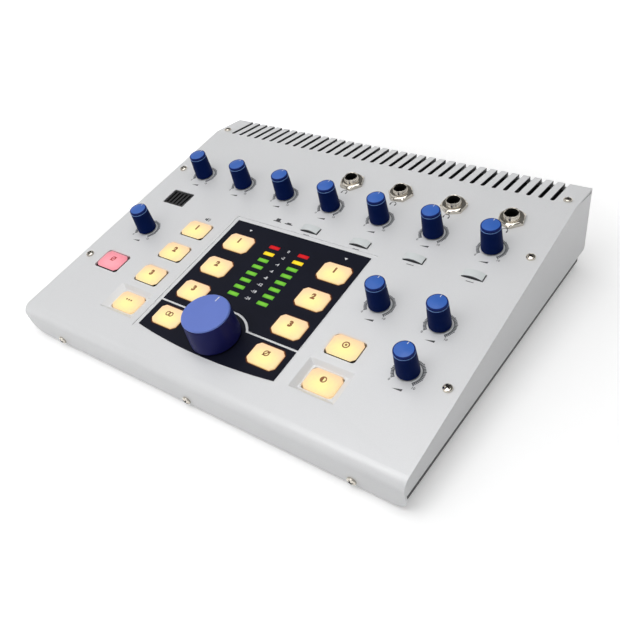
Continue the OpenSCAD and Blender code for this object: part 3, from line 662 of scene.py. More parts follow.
@dataclass(frozen=True)
class CaseSizes:
    """The case's planes and the rows of its controls, from the same sizes as the parts."""

    width: float = 304.8
    panel_len: float = 221.4
    vent_len: float = 29.0
    tilt: float = math.radians(10.0)
    fall: float = math.radians(4.0)
    nose_r: float = 7.0
    sheet: float = 1.5
    lip_depth: float = 23.0
    lip_clear: float = 2.2
    case_gap: float = 0.3
    rear_out: float = 8.0
    column: float = 40.2
    row: float = 24.8
    row_1: float = 37.8
    lit_shift: float = -1.0
    overlay_shift: float = -1.6
    desk_row: float = 99.6
    meter_top: float = 118.1
    meter_pitch: float = 6.59
    arrow_row: float = 126.4
    icon_row: float = 142.0
    source_row: float = 142.4
    knob_row: float = 167.7
    jack_row: float = 196.4
    screw_x: float = 144.9
    screw_rows: tuple[float, float] = (61.4, 168.4)
    strip_screw: float = 5.0
    lip_screw_x: float = 119.6
    lip_screw_down: float = 18.6
    rear_column: float = 20.0
    rear_low: float = 22.5
    rear_rise: float = 19.0
    well_rim: tuple[float, float] = (15.6, 11.6)
    well_floor: tuple[float, float] = (11.6, 8.7)
    well_depth: float = 3.0
    slots_half: float = 138.0
    fold_width: float = 2.4
    side_share: float = 0.5

    @property
    def corner(self) -> Array:
        """The virtual front edge of the panel, in Y and Z."""
        nose = self.nose_r * (math.cos(self.tilt) + math.sin(self.tilt) - 1.0)
        reach = (self.panel_len * math.cos(self.tilt) + self.vent_len * math.cos(self.fall)
                 + self.rear_out)
        return np.array([-(nose + reach) / 2.0,
                         self.lip_clear + self.lip_depth * math.cos(self.tilt)])

    @property
    def ridge(self) -> Array:
        """The line where the panel meets the slotted strip, at X = 0."""
        return self.on_panel(0.0, self.panel_len).origin

    @property
    def rear_face(self) -> float:
        """Y of the rear panel's outer face."""
        return self.ridge[1] + self.vent_len * math.cos(self.fall) - self.sheet - self.case_gap

    def on_panel(self, x: float, s: float, n: float = 0.0) -> Place:
        """A place on the control panel: y = y0 + s cos t - n sin t, z = z0 + s sin t + n cos t.

        Args:
            x: X, from the middle.
            s: How far up the slope from the panel's virtual front edge (y0, z0).
            n: Height over the panel.

        Returns:
            The place.
        """
        c, k = math.cos(self.tilt), math.sin(self.tilt)
        y, z = self.corner
        return leaning(x, y + s * c - n * k, z + s * k + n * c, self.tilt)

    def on_strip(self, x: float, w: float = 0.0) -> Place:
        """A place on the slotted strip: y = y1 + w cos f, z = z1 - w sin f from the ridge."""
        _, y, z = self.ridge
        return leaning(x, y + w * math.cos(self.fall), z - w * math.sin(self.fall), -self.fall)

    def on_lip(self, x: float, down: float) -> Place:
        """A place on the front lip, down from the panel's virtual edge."""
        _, y, z = self.on_panel(x, 0.0, -down).origin
        return leaning(x, y, z, self.tilt + math.pi / 2.0)

    def on_rear(self, column: float, level: float) -> Place:
        """A place on the rear panel, at a column and a level of sockets, facing out of it."""
        return leaning(column * self.rear_column, self.rear_face,
                       self.rear_low + level * self.rear_rise, -math.pi / 2.0)

    def col(self, i: float) -> float:
        """X of a column of controls, 0 to 6 from the left."""
        return (i - 3.0) * self.column

    def lit(self, i: float) -> float:
        """X of a column of lit caps."""
        return self.col(i) + self.lit_shift

    def rank(self, i: float) -> float:
        """Slope position of a row of lit caps, 1 to 4 from the front."""
        return self.row_1 + (i - 1.0) * self.row


CASE = CaseSizes()
KNOBS = (
    ("knob_speaker_1", 0, CASE.knob_row), ("knob_speaker_2", 1, CASE.knob_row),
    ("knob_speaker_3", 2, CASE.knob_row), ("knob_phones_1", 3, CASE.knob_row),
    ("knob_phones_2", 4, CASE.knob_row), ("knob_phones_3", 5, CASE.knob_row),
    ("knob_phones_4", 6, CASE.knob_row), ("knob_talkback", 0, CASE.desk_row),
    ("knob_cue_in", 5, CASE.desk_row), ("knob_cue_out", 6, CASE.desk_row),
    ("knob_dim", 6, CASE.rank(2)),
)
PHONES_COLUMNS = (3, 4, 5, 6)


@dataclass
class Shell:
    """A surface: its points and faces, its surface map, and which faces get a second finish."""

    points: Array
    faces: list[Sequence[int]]
    uv: Array | None = None
    second: Array | None = None

    def mapped(self, width: float, depth: float) -> "Shell":
        """The same surface with a map that runs 0 to 1 over a width and a depth."""
        self.uv = self.points[:, :2] / np.array([width, depth]) + 0.5
        return self

    def middles(self) -> Array:
        """The middle of each face."""
        return np.array([self.points[list(face)].mean(0) for face in self.faces])


def turned(points: Array, angle: float) -> Array:
    """Flat points turned about the origin: (x cos a - y sin a, x sin a + y cos a)."""
    c, k = math.cos(angle), math.sin(angle)
    return points @ np.array([[c, k], [-k, c]])


def soft_profile(points: Sequence[tuple[float, float, float]], steps: int = 4) -> Array:
    """Rounds the corners of a polyline.

    A corner P of radius r is replaced by the curve (1-u)^2 A + 2u(1-u) P + u^2 B, with A
    and B on its two sides at the distance r, or half a side where that is shorter.

    Args:
        points: Each corner as (x, y, r).
        steps: Spans in each round.

    Returns:
        The rounded line's points.
    """
    line = np.array(points, float)
    u = np.linspace(0.0, 1.0, steps + 1)[:, None]
    out = [line[:1, :2]]
    for before, here, after in zip(line[:-2], line[1:-1], line[2:]):
        p, r = here[:2], here[2]
        if r <= 0.0:
            out.append(p[None])
            continue
        d0, d1 = before[:2] - p, after[:2] - p
        l0, l1 = np.linalg.norm(d0), np.linalg.norm(d1)
        reach = min(r, 0.48 * l0, 0.48 * l1)
        a, b = p + d0 / l0 * reach, p + d1 / l1 * reach
        out.append((1 - u) ** 2 * a + 2 * u * (1 - u) * p + u ** 2 * b)
    out.append(line[-1:, :2])
    return np.vstack(out)


def dome(reach: float, top: float, fall: float, count: int = 9, power: float = 2.0) -> Array:
    """The profile of a crown: z = top - fall u^power at the radius u reach, u from 0 to 1.

    Args:
        reach: Its radius.
        top: Its height in the middle.
        fall: How much lower its edge is.
        count: Points along it.
        power: How late it falls.

    Returns:
        Points (r, z) from the middle outwards.
    """
    u = np.linspace(0.0, 1.0, count)
    return np.column_stack([u * reach, top - fall * u ** power])


def pointer(start: float, end: float, half: float, reach: float, top: float,
            fall: float) -> Shell:
    """A painted pointer along +Y that follows a crown: z = top - fall (r / reach)^2.

    Args:
        start: Its near end's distance from the axis.
        end: Its far end's.
        half: Half its width.
        reach: The crown's radius.
        top: The crown's height.
        fall: The crown's fall.

    Returns:
        The strip, just over the crown.
    """
    y, x = np.meshgrid(np.linspace(start, end, 8), np.array([-half, half]), indexing="ij")
    z = top - fall * (y ** 2 + x ** 2) / reach ** 2 + INK_LIFT
    faces = [(2 * i, 2 * i + 1, 2 * i + 3, 2 * i + 2) for i in range(7)]
    return Shell(np.stack([x, y, z], axis=-1).reshape(-1, 3), faces)


def grid_faces(rows: int, columns: int) -> list[Sequence[int]]:
    """Quads of a grid whose columns close on themselves.

    Args:
        rows: Rows of points.
        columns: Points in a row.

    Returns:
        The quads.
    """
    i, j = np.meshgrid(np.arange(rows - 1), np.arange(columns), indexing="ij")
    k = (j + 1) % columns
    quads = np.stack([i * columns + j, (i + 1) * columns + j,
                      (i + 1) * columns + k, i * columns + k], axis=-1)
    return quads.reshape(-1, 4).tolist()


def spun(radii: Array, heights: Array, loop: bool = False) -> Shell:
    """Rows of points round the local third axis: (r cos a, r sin a, z) for each radius r.

    Args:
        radii: One row of radii for each height; a first or last row of 0 is a pole.
        heights: The rows' heights, from the top's middle outwards and down.
        loop: Whether the last row joins the first, as for a ring.

    Returns:
        The surface.
    """
    turns = radii.shape[1]
    a = np.arange(turns) * (2.0 * math.pi / turns)
    head, tail = radii[0].max() < 1e-6, radii[-1].max() < 1e-6
    rows = slice(1 if head else 0, len(radii) - 1 if tail else len(radii))
    r, z = radii[rows], heights[rows, None]
    points = np.stack([r * np.cos(a), r * np.sin(a), z + 0.0 * a], axis=-1).reshape(-1, 3)
    faces = grid_faces(len(r), turns)
    last = (len(r) - 1) * turns
    ring = np.arange(turns)
    after = (ring + 1) % turns
    if loop:
        faces += np.stack([last + ring, ring, after, last + after], axis=-1).tolist()
    if head:
        pole = np.full(turns, len(points))
        points = np.vstack([points, [[0.0, 0.0, heights[0]]]])
        faces += np.stack([pole, ring, after], axis=-1).tolist()
    if tail:
        pole = np.full(turns, len(points))
        points = np.vstack([points, [[0.0, 0.0, heights[-1]]]])
        faces += np.stack([pole, last + after, last + ring], axis=-1).tolist()
    return Shell(points, faces)


def lathe(profile: Array, turns: int = 64, loop: bool = False) -> Shell:
    """Turns a profile of (r, z) about the local third axis."""
    return spun(np.repeat(profile[:, :1], turns, axis=1), profile[:, 1], loop)


def rod(radius: float, top: float, low: float, turns: int) -> Shell:
    """A round rod about the local third axis, closed at both ends."""
    return lathe(np.array([[0.0, top], [radius, top], [radius, low], [0.0, low]]), turns)


@dataclass(frozen=True)
class Outline:
    """A convex outline with round corners, which can be drawn in or out."""

    corners: tuple[tuple[float, float], ...]
    radius: float
    steps: int = 3

    def ring(self, inset: float) -> Array:
        """The outline drawn in by inset.

        Each side moves in along its normal. A corner's centre lies where the sides, moved in
        by inset plus the radius left, cross; its arc runs from one normal to the next.

        Args:
            inset: How far in; negative draws it out.

        Returns:
            Points of the ring, the same number for every inset.
        """
        p = np.array(self.corners, float)
        along = np.roll(p, -1, axis=0) - p
        along /= np.linalg.norm(along, axis=1)[:, None]
        normal = np.stack([along[:, 1], -along[:, 0]], axis=1)
        before = np.roll(normal, 1, axis=0)
        left = max(self.radius - inset, 0.02)
        push = (before + normal) / (1.0 + (before * normal).sum(1))[:, None]
        centre = p - push * (inset + left)
        start = np.arctan2(before[:, 1], before[:, 0])
        turn = np.arctan2(before[:, 0] * normal[:, 1] - before[:, 1] * normal[:, 0],
                          (before * normal).sum(1))
        angle = start[:, None] + turn[:, None] * np.linspace(0.0, 1.0, self.steps + 1)
        arc = np.stack([np.cos(angle), np.sin(angle)], axis=-1) * left
        return (centre[:, None] + arc).reshape(-1, 2)


def rectangle(width: float, depth: float, radius: float) -> Outline:
    """A rectangle round the origin with round corners."""
    w, d = width / 2.0, depth / 2.0
    return Outline(((-w, -d), (w, -d), (w, d), (-w, d)), radius)


def cut_rectangle(width: float, depth: float, cut: float, radius: float) -> Outline:
    """A rectangle round the origin with cut and slightly rounded corners."""
    w, d = width / 2.0, depth / 2.0
    return Outline(((-w + cut, -d), (w - cut, -d), (w, -d + cut), (w, d - cut),
                    (w - cut, d), (-w + cut, d), (-w, d - cut), (-w, -d + cut)), radius)


def stack(outline: Outline, levels: Array, closed: bool = True) -> Shell:
    """Rings of one outline at several heights.

    Args:
        outline: The outline.
        levels: (inset, height) of each ring, from the top's middle outwards and down.
        closed: Whether the first and the last ring are filled.

    Returns:
        The surface, with the way down the levels as its surface map's v.
    """
    rings = [np.column_stack([outline.ring(i), np.full(len(outline.ring(i)), h)])
             for i, h in levels]
    count = len(rings[0])
    faces = grid_faces(len(rings), count)
    if closed:
        first = (len(rings) - 1) * count
        faces.append(tuple(range(count)))
        faces.append(tuple(range(first + count - 1, first - 1, -1)))
    v = np.repeat(np.linspace(0.0, 1.0, len(rings)), count)
    u = np.tile(np.arange(count) / count, len(rings))
    return Shell(np.vstack(rings), faces, np.column_stack([u, v]))


def flat_patch(corners: Sequence[tuple[float, float]] | Array) -> Shell:
    """A flat patch with these corners, taken anticlockwise."""
    p = np.array(corners, float)
    return Shell(np.column_stack([p, np.zeros(len(p))]), [tuple(range(len(p)))])


def flat_ring(r0: float, r1: float, a0: float = 0.0, a1: float = 360.0,
              x: float = 0.0, y: float = 0.0) -> Shell:
    """A flat ring or arc of points (x + r cos a, y + r sin a).

    Args:
        r0: Inner radius.
        r1: Outer radius.
        a0: Angle where it starts, in degrees.
        a1: Angle where it ends.
        x: X of its middle.
        y: Y of its middle.

    Returns:
        The surface.
    """
    count = max(int(abs(a1 - a0) / 6.0), 2) + 1
    a = np.radians(np.linspace(a0, a1, count))
    rows = [np.stack([x + r * np.cos(a), y + r * np.sin(a), 0 * a], axis=-1) for r in (r0, r1)]
    faces = [(i, count + i, count + i + 1, i + 1) for i in range(count - 1)]
    return Shell(np.vstack(rows), faces)


def flat_bar(width: float, depth: float, x: float = 0.0, y: float = 0.0,
             turn: float = 0.0) -> Shell:
    """A flat bar.

    Args:
        width: Its size along x.
        depth: Its size along y.
        x: X of its middle.
        y: Y of its middle.
        turn: Angle in degrees by which it is then turned about the origin.

    Returns:
        The surface.
    """
    w, d = width / 2.0, depth / 2.0
    corners = np.array([[-w, -d], [w, -d], [w, d], [-w, d]]) + np.array([x, y])
    return flat_patch(turned(corners, math.radians(turn)))


def linked(name: str, data: bpy.types.ID) -> bpy.types.Object:
    """Puts a new object in the scene.

    Args:
        name: Its name.
        data: Its mesh, curve, lamp or camera.

    Returns:
        The object.
    """
    thing = bpy.data.objects.new(name, data)
    bpy.context.scene.collection.objects.link(thing)
    return thing


def read(items: Any, name: str, width: int = 1, kind: type = float) -> Array:
    """Reads one property of all of a mesh's items.

    Args:
        items: The points, edges, faces, loops or triangles.
        name: The property.
        width: Numbers to an item.
        kind: The numbers' type.

    Returns:
        One number for each item, or one row where there are more.
    """
    values = np.zeros(len(items) * width, kind)
    items.foreach_get(name, values)
    return values.reshape(-1, width) if width > 1 else values


def evaluated(thing: bpy.types.Object) -> bpy.types.Object:
    """The object with its modifiers followed."""
    return thing.evaluated_get(bpy.context.evaluated_depsgraph_get())


def numeral(text: str, height: float, x: float = 0.0, y: float = 0.0,
            weight: float = 0.0) -> Shell:
    """Plain numbers.

    Args:
        text: The digits.
        height: Their height.
        x: X of their middle.
        y: Y of their middle.
        weight: How much bolder they are, as a share of the height.

    Returns:
        The flat surface.
    """
    curve = bpy.data.curves.new("numeral", "FONT")
    curve.body, curve.size = text, height * 1.38
    curve.align_x, curve.align_y = "CENTER", "CENTER"
    curve.resolution_u, curve.offset = 3, weight * height
    holder = linked("numeral", curve)
    bpy.context.view_layer.update()
    mesh = evaluated(holder).to_mesh()
    points = read(mesh.vertices, "co", 3) + np.array([x, y, 0.0])
    faces = [tuple(p.vertices) for p in mesh.polygons]
    bpy.data.objects.remove(holder)
    return Shell(points, faces)


class Piece:
    """One visual piece: surfaces and their finishes gathered into one mesh."""

    def __init__(self, name: str) -> None:
        """Starts an empty piece.

        Args:
            name: Its name.
        """
        self.name = name
        self.points: list[Array] = []
        self.faces: list[Sequence[int]] = []
        self.uv: list[Array] = []
        self.marks: list[int] = []
        self.finishes: list[Finish] = []
        self.count = 0

    def mark(self, finish: Finish) -> int:
        """The number of a finish's material slot."""
        if finish not in self.finishes:
            self.finishes.append(finish)
        return self.finishes.index(finish)

    def add(self, shell: Shell, place: Place, finish: Finish,
            other: Finish | None = None) -> "Piece":
        """Adds one surface.

        Args:
            shell: The surface, in local millimetres.
            place: Where it goes.
            finish: How it is finished.
            other: The finish of the faces that the shell sets apart.

        Returns:
            This piece.
        """
        mark = self.mark(finish)
        self.points.append(place.apply(shell.points))
        self.uv.append(shell.uv if shell.uv is not None else shell.points[:, :2] * 0.01)
        self.faces += [tuple(int(i) + self.count for i in face) for face in shell.faces]
        if other is None or shell.second is None:
            self.marks += [mark] * len(shell.faces)
        else:
            self.marks += np.where(shell.second, self.mark(other), mark).tolist()
        self.count += len(shell.points)
        return self

    def build(self, body: str = "case", replaces: Sequence[str] = (),
              slot: str | None = None, smooth: float = 32.0) -> None:
        """Makes the object.

        Args:
            body: The body it rides on.
            replaces: The parts it stands for.
            slot: The record's material slot it belongs to; it is not used.
            smooth: Edges under this angle in degrees are shaded smooth.
        """
        mesh = bpy.data.meshes.new(self.name)
        mesh.from_pydata(np.vstack(self.points).tolist(), [], self.faces)
        mesh.polygons.foreach_set("material_index", self.marks)
        layer = mesh.uv_layers.new(name="surface")
        corners = read(mesh.loops, "vertex_index", kind=np.int32)
        layer.data.foreach_set("uv", np.vstack(self.uv)[corners].astype(np.float32).ravel())
        mesh.shade_smooth()
        mesh.set_sharp_from_angle(angle=math.radians(smooth))
        for finish in self.finishes:
            mesh.materials.append(finish.material())
        mesh.update()
        thing = linked(self.name, mesh)
        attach(thing, body)
        if replaces:
            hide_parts(*replaces)
        LOG.info("%s: %d faces", self.name, len(self.faces))


Rule = Callable[[Array], Array]
Folds = Callable[[Array, Array], Array]


class Frame:
    """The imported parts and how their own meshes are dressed."""

    def __init__(self) -> None:
        """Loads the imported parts."""
        self.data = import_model()
        self.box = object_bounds()
        self.slots = {s["node"]: s["material_slot"] for s in self.data["record"]["subparts"]}

    def dress(self, node: str, finish: Finish) -> None:
        """Gives a part that stays a finish.

        Args:
            node: The part.
            finish: The finish.
        """
        part = self.data["nodes"][node]
        part.data.materials.clear()
        part.data.materials.append(finish.material())
        LOG.info("%s dressed", node)

    def skin(self, node: str, joined: bool, finish: Finish, other: Finish | None,
             rule: Rule | None) -> bpy.types.Mesh:
        """Copies a part's mesh, with its points merged, and gives it its finishes.

        Args:
            node: The part.
            joined: Whether flat neighbouring triangles become one face.
            finish: The finish.
            other: A second finish.
            rule: Takes the faces' middles in millimetres and says which get the second finish.

        Returns:
            The copy.
        """
        mesh = self.data["nodes"][node].data.copy()
        mesh.name = f"{node}_soft"
        work = bmesh.new()
        work.from_mesh(mesh)
        bmesh.ops.remove_doubles(work, verts=work.verts, dist=2e-6)
        if joined:
            bmesh.ops.dissolve_limit(work, angle_limit=math.radians(0.6), verts=work.verts,
                                     edges=work.edges)
        work.to_mesh(mesh)
        work.free()
        mesh.materials.clear()
        mesh.materials.append(finish.material())
        if other and rule:
            mesh.materials.append(other.material())
            marks = rule(read(mesh.polygons, "center", 3) / MM).astype(np.int32)
            mesh.polygons.foreach_set("material_index", marks)
        if "custom_normal" in mesh.attributes:
            mesh.attributes.remove(mesh.attributes["custom_normal"])
        mesh.shade_smooth()
        mesh.set_sharp_from_angle(angle=CREASE)
        return mesh

    def sound(self, thing: bpy.types.Object) -> bool:
        """Says whether every face's triangles cover just that face.

        A face that crosses itself is cut into triangles whose areas add up to more than its
        own; all such excess together stays under a thousandth of the whole.

        Args:
            thing: The object, whose modifiers are followed.

        Returns:
            Whether its mesh is sound.
        """
        whole = evaluated(thing)
        mesh = whole.to_mesh()
        mesh.calc_loop_triangles()
        own = read(mesh.polygons, "area")
        cut = read(mesh.loop_triangles, "area")
        owner = read(mesh.loop_triangles, "polygon_index", kind=np.int32)
        covered = np.bincount(owner, cut, len(own))
        excess = np.maximum(covered - own, 0.0).sum() / own.sum()
        whole.to_mesh_clear()
        LOG.info("%s: excess %.5f", thing.name, excess)
        return excess < 0.001

    def soften(self, node: str, finish: Finish, width: float = 0.2, body: str = "case",
               other: Finish | None = None, rule: Rule | None = None,
               folds: Folds | None = None) -> None:
        """Stands a copy of a part, with its sharp edges rounded, in the part's place.

        Args:
            node: The part.
            finish: The copy's finish.
            width: Width of the rounded edges, in millimetres.
            body: The body it rides on.
            other: A second finish.
            rule: Takes the faces' middles in millimetres and says which get the second finish.
            folds: Takes the two ends of the edges, in millimetres, and gives the share of the
                width by which each is rounded; without it all sharp edges are rounded alike.
        """
        mesh = self.skin(node, True, finish, other, rule)
        thing = linked(f"{node}_soft", mesh)
        if folds:
            points = read(mesh.vertices, "co", 3) / MM
            ends = read(mesh.edges, "vertices", 2, np.int32)
            weights = mesh.attributes.new("bevel_weight_edge", "FLOAT", "EDGE")
            shares = folds(points[ends[:, 0]], points[ends[:, 1]])
            weights.data.foreach_set("value", shares.astype(np.float32))
            self.bevel(thing, "WEIGHT", width, 5)
            self.mend(thing)
        else:
            bevel = self.bevel(thing, "ANGLE", width, 2)
            bevel.use_clamp_overlap = not self.sound(thing)
        if not self.sound(thing):
            LOG.warning("%s keeps its sharp edges", node)
            thing.modifiers.clear()
            thing.data = self.skin(node, False, finish, other, rule)
        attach(thing, body)
        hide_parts(node)
        LOG.info("%s softened", node)

    def bevel(self, thing: bpy.types.Object, limit: str, width: float,
              segments: int) -> bpy.types.Modifier:
        """Adds a Bevel modifier.

        Args:
            thing: The object.
            limit: WEIGHT rounds edges by their weight, ANGLE all sharp ones.
            width: Its width, in millimetres.
            segments: Steps across the round.

        Returns:
            The modifier.
        """
        bevel = thing.modifiers.new(limit.lower(), "BEVEL")
        bevel.width, bevel.segments, bevel.limit_method = width * MM, segments, limit
        bevel.angle_limit = CREASE
        bevel.use_clamp_overlap = limit == "WEIGHT"
        bevel.harden_normals = limit == "ANGLE"
        bevel.miter_outer = "MITER_ARC"
        return bevel

    def mend(self, thing: bpy.types.Object) -> None:
        """Applies an object's modifiers and cuts its many-sided faces into sound triangles.

        Each such face is laid flat along its own normal and cut by a constrained Delaunay
        triangulation, which keeps to the inside even where the outline touches itself.

        Args:
            thing: The object.
        """
        mesh = bpy.data.meshes.new_from_object(evaluated(thing))
        thing.modifiers.clear()
        thing.data = mesh
        work = bmesh.new()
        work.from_mesh(mesh)
        work.normal_update()
        for face in [each for each in work.faces if len(each.verts) > 4]:
            corners = list(face.verts)
            turn = face.normal.to_track_quat("Z", "Y").inverted()
            back = turn.inverted()
            flat = [turn @ corner.co for corner in corners]
            level = sum(point.z for point in flat) / len(flat)
            points, _, cuts, origins, _, _ = delaunay_2d_cdt(
                [point.to_2d() for point in flat], [], [list(range(len(flat)))], 1, 1e-8)
            found = [corners[origin[0]] if origin else
                     work.verts.new(back @ point.to_3d() + back @ Vector((0.0, 0.0, level)))
                     for point, origin in zip(points, origins)]
            mark, smooth = face.material_index, face.smooth
            work.faces.remove(face)
            for cut in cuts:
                three = [found[i] for i in cut]
                if len(set(three)) == 3 and not work.faces.get(three):
                    part = work.faces.new(three)
                    part.material_index, part.smooth = mark, smooth
        work.to_mesh(mesh)
        work.free()
        mesh.set_sharp_from_angle(angle=CREASE)


# ------------------------------------------------------------------ the pieces


@dataclass
class Knob:
    """A turned knob: a crowned cap over a groove and a slightly tapered skirt."""

    foot: float = 6.9
    head: float = 6.2
    height: float = 18.8
    cap: float = 2.1
    crown: float = 0.62
    disc: float = 5.45
    gap: float = 1.0
    mark: float = 2.5
    turns: int = 72

    def radius(self, z: float) -> float:
        """The skirt's radius at a height: it tapers evenly from foot to head."""
        return self.foot + (self.head - self.foot) * z / self.height

    def build(self, name: str, column: float, s: float) -> None:
        """Makes the knob from four turned profiles and a painted pointer.

        Args:
            name: The part it stands for, and its body.
            column: Its column.
            s: Its slope position.
        """
        place = CASE.on_panel(CASE.col(column), s, self.gap)
        split, rim = self.height - self.cap, self.height - self.crown
        r, r1 = self.radius(split), self.head
        crown = dome(self.disc, self.height, self.crown * 0.8)
        edge = soft_profile([(*crown[-1], 0), (r1 - 0.12, rim + 0.12, 0.6),
                             (r1, rim - 0.55, 0.3), (r - 0.02, split + 0.42, 0.16),
                             (r - 0.42, split + 0.3, 0.0), (r - 0.45, split + 0.02, 0)], 5)
        cap = lathe(np.vstack([crown[:-1], edge, [[0.0, split + 0.02]]]), self.turns)
        # The cap's rim and side band take the painted shade blue.
        middles = cap.middles()
        cap.second = ((np.hypot(middles[:, 0], middles[:, 1]) > self.disc)
                      | (middles[:, 2] < rim - 0.5))
        neck = r - 0.42
        line = soft_profile([
            (neck - 1.0, split + 0.05, 0), (neck, split + 0.05, 0.0), (neck, split - 0.28, 0.1),
            (r - 0.06, split - 0.36, 0.22), (self.radius(split - 0.6), split - 0.7, 0.1),
            (self.radius(0.6), 0.6, 0.3), (self.foot - 0.05, 0.12, 0.3),
            (self.foot - 0.6, 0.0, 0.1), (self.foot - 1.2, 0.0, 0)], 4)
        skirt = lathe(np.vstack([[[0.0, split + 0.05]], line, [[0.0, 0.0]]]), self.turns)
        # The pale ring under the groove is a painted highlight on the skirt's upper edge.
        band = soft_profile([(r - 0.5, split - 0.28, 0), (r + 0.015, split - 0.30, 0.12),
                             (r + 0.03, split - 0.56, 0.12), (r - 0.5, split - 0.6, 0)], 3)
        mark = pointer(r1 - self.mark, r1 - 0.45, 0.22, self.disc, self.height,
                       self.crown * 0.8)
        piece = Piece(f"{name}_look")
        # The skirt's dark navy is partly painted shade.
        piece.add(cap, place, KNOB_TOP, KNOB_SIDE_SHADE).add(skirt, place, KNOB_SKIRT_AND_SHADE)
        piece.add(lathe(band, self.turns, True), place, KNOB_RING_HIGHLIGHT)
        piece.add(rod(3.0, 0.3, -12.6, 32), place, STEEL).add(mark, place, WHITE_INK)
        piece.build(name, [name], "knob_blue")


@dataclass
class MainKnob:
    """The large knob: a wide flat crown, a fine bevel and a tall skirt."""

    foot: float = 16.4
    head: float = 15.4
    height: float = 21.0
    crown: float = 1.1
    gap: float = 1.0
    turns: int = 128

    def build(self, name: str, column: float, s: float) -> None:
        """Makes the knob from three turned profiles and a painted pointer.

        Args:
            name: The part it stands for, and its body.
            column: Its column.
            s: Its slope position.
        """
        place = CASE.on_panel(CASE.col(column), s, self.gap)
        h, r1, reach, fall = self.height, self.head, self.head - 1.0, self.crown * 0.5
        crown = dome(reach, h, fall, 14)
        edge = soft_profile([(*crown[-1], 0), (r1 - 0.35, h - self.crown * 0.62, 0.5),
                             (r1 + 0.02, h - self.crown - 0.55, 0.4), (r1 - 0.3, h - 1.95, 0)], 5)
        cap = lathe(np.vstack([crown[:-1], edge, [[0.0, h - 1.95]]]), self.turns)
        line = soft_profile([
            (r1 - 1.0, h - 1.9, 0), (r1 - 0.28, h - 1.9, 0.0), (r1 - 0.28, h - 2.1, 0.1),
            (r1 + 0.05, h - 2.25, 0.15), (self.foot - 0.15, 0.8, 0.6),
            (self.foot - 0.25, 0.1, 0.4), (self.foot - 1.2, 0.0, 0.2),
            (self.foot - 2.5, 0.0, 0)], 5)
        skirt = lathe(np.vstack([[[0.0, h - 1.9]], line, [[0.0, 0.0]]]), self.turns)
        mark = pointer(r1 - 5.6, r1 - 1.5, 0.32, reach, h, fall)
        piece = Piece(f"{name}_look")
        # The skirt's dark navy is partly painted shade.
        piece.add(cap, place, MAIN_TOP).add(skirt, place, MAIN_SKIRT_AND_SHADE)
        piece.add(rod(3.0, 0.3, -12.6, 32), place, STEEL).add(mark, place, WHITE_INK)
        piece.build(name, [name], "knob_blue")


class Legend(Enum):
    """What is printed on a lit cap."""

    ONE = "1"
    TWO = "2"
    THREE = "3"
    RING = "ring"
    BAR = "bar"
    HALF = "half"
    DOTS = "dots"
    DISC = "disc"

    def shells(self, y: float = 1.4) -> list[Shell]:
        """The flat surfaces of the mark, 3 to 5 mm across.

        Args:
            y: How far its middle is behind the cap's.

        Returns:
            The surfaces.
        """
        if self is Legend.RING:
            return [flat_ring(1.1, 1.9, x=-1.2, y=y), flat_ring(1.1, 1.9, x=1.2, y=y)]
        if self is Legend.BAR:
            return [flat_ring(1.35, 2.15, y=y), flat_bar(5.6, 0.8, y * 0.71, y * 0.71, 45.0)]
        if self is Legend.HALF:
            return [flat_ring(1.4, 2.15, y=y), flat_ring(0.0, 1.41, 90.0, 270.0, 0.0, y)]
        if self is Legend.DOTS:
            return [flat_ring(0.0, 0.7, x=x, y=y) for x in (-2.1, 0.0, 2.1)]
        if self is Legend.DISC:
            return [flat_ring(1.6, 2.4, y=y), flat_ring(0.0, 0.8, y=y)]
        return [numeral(self.value, 4.2, 0.0, y, 0.10)]


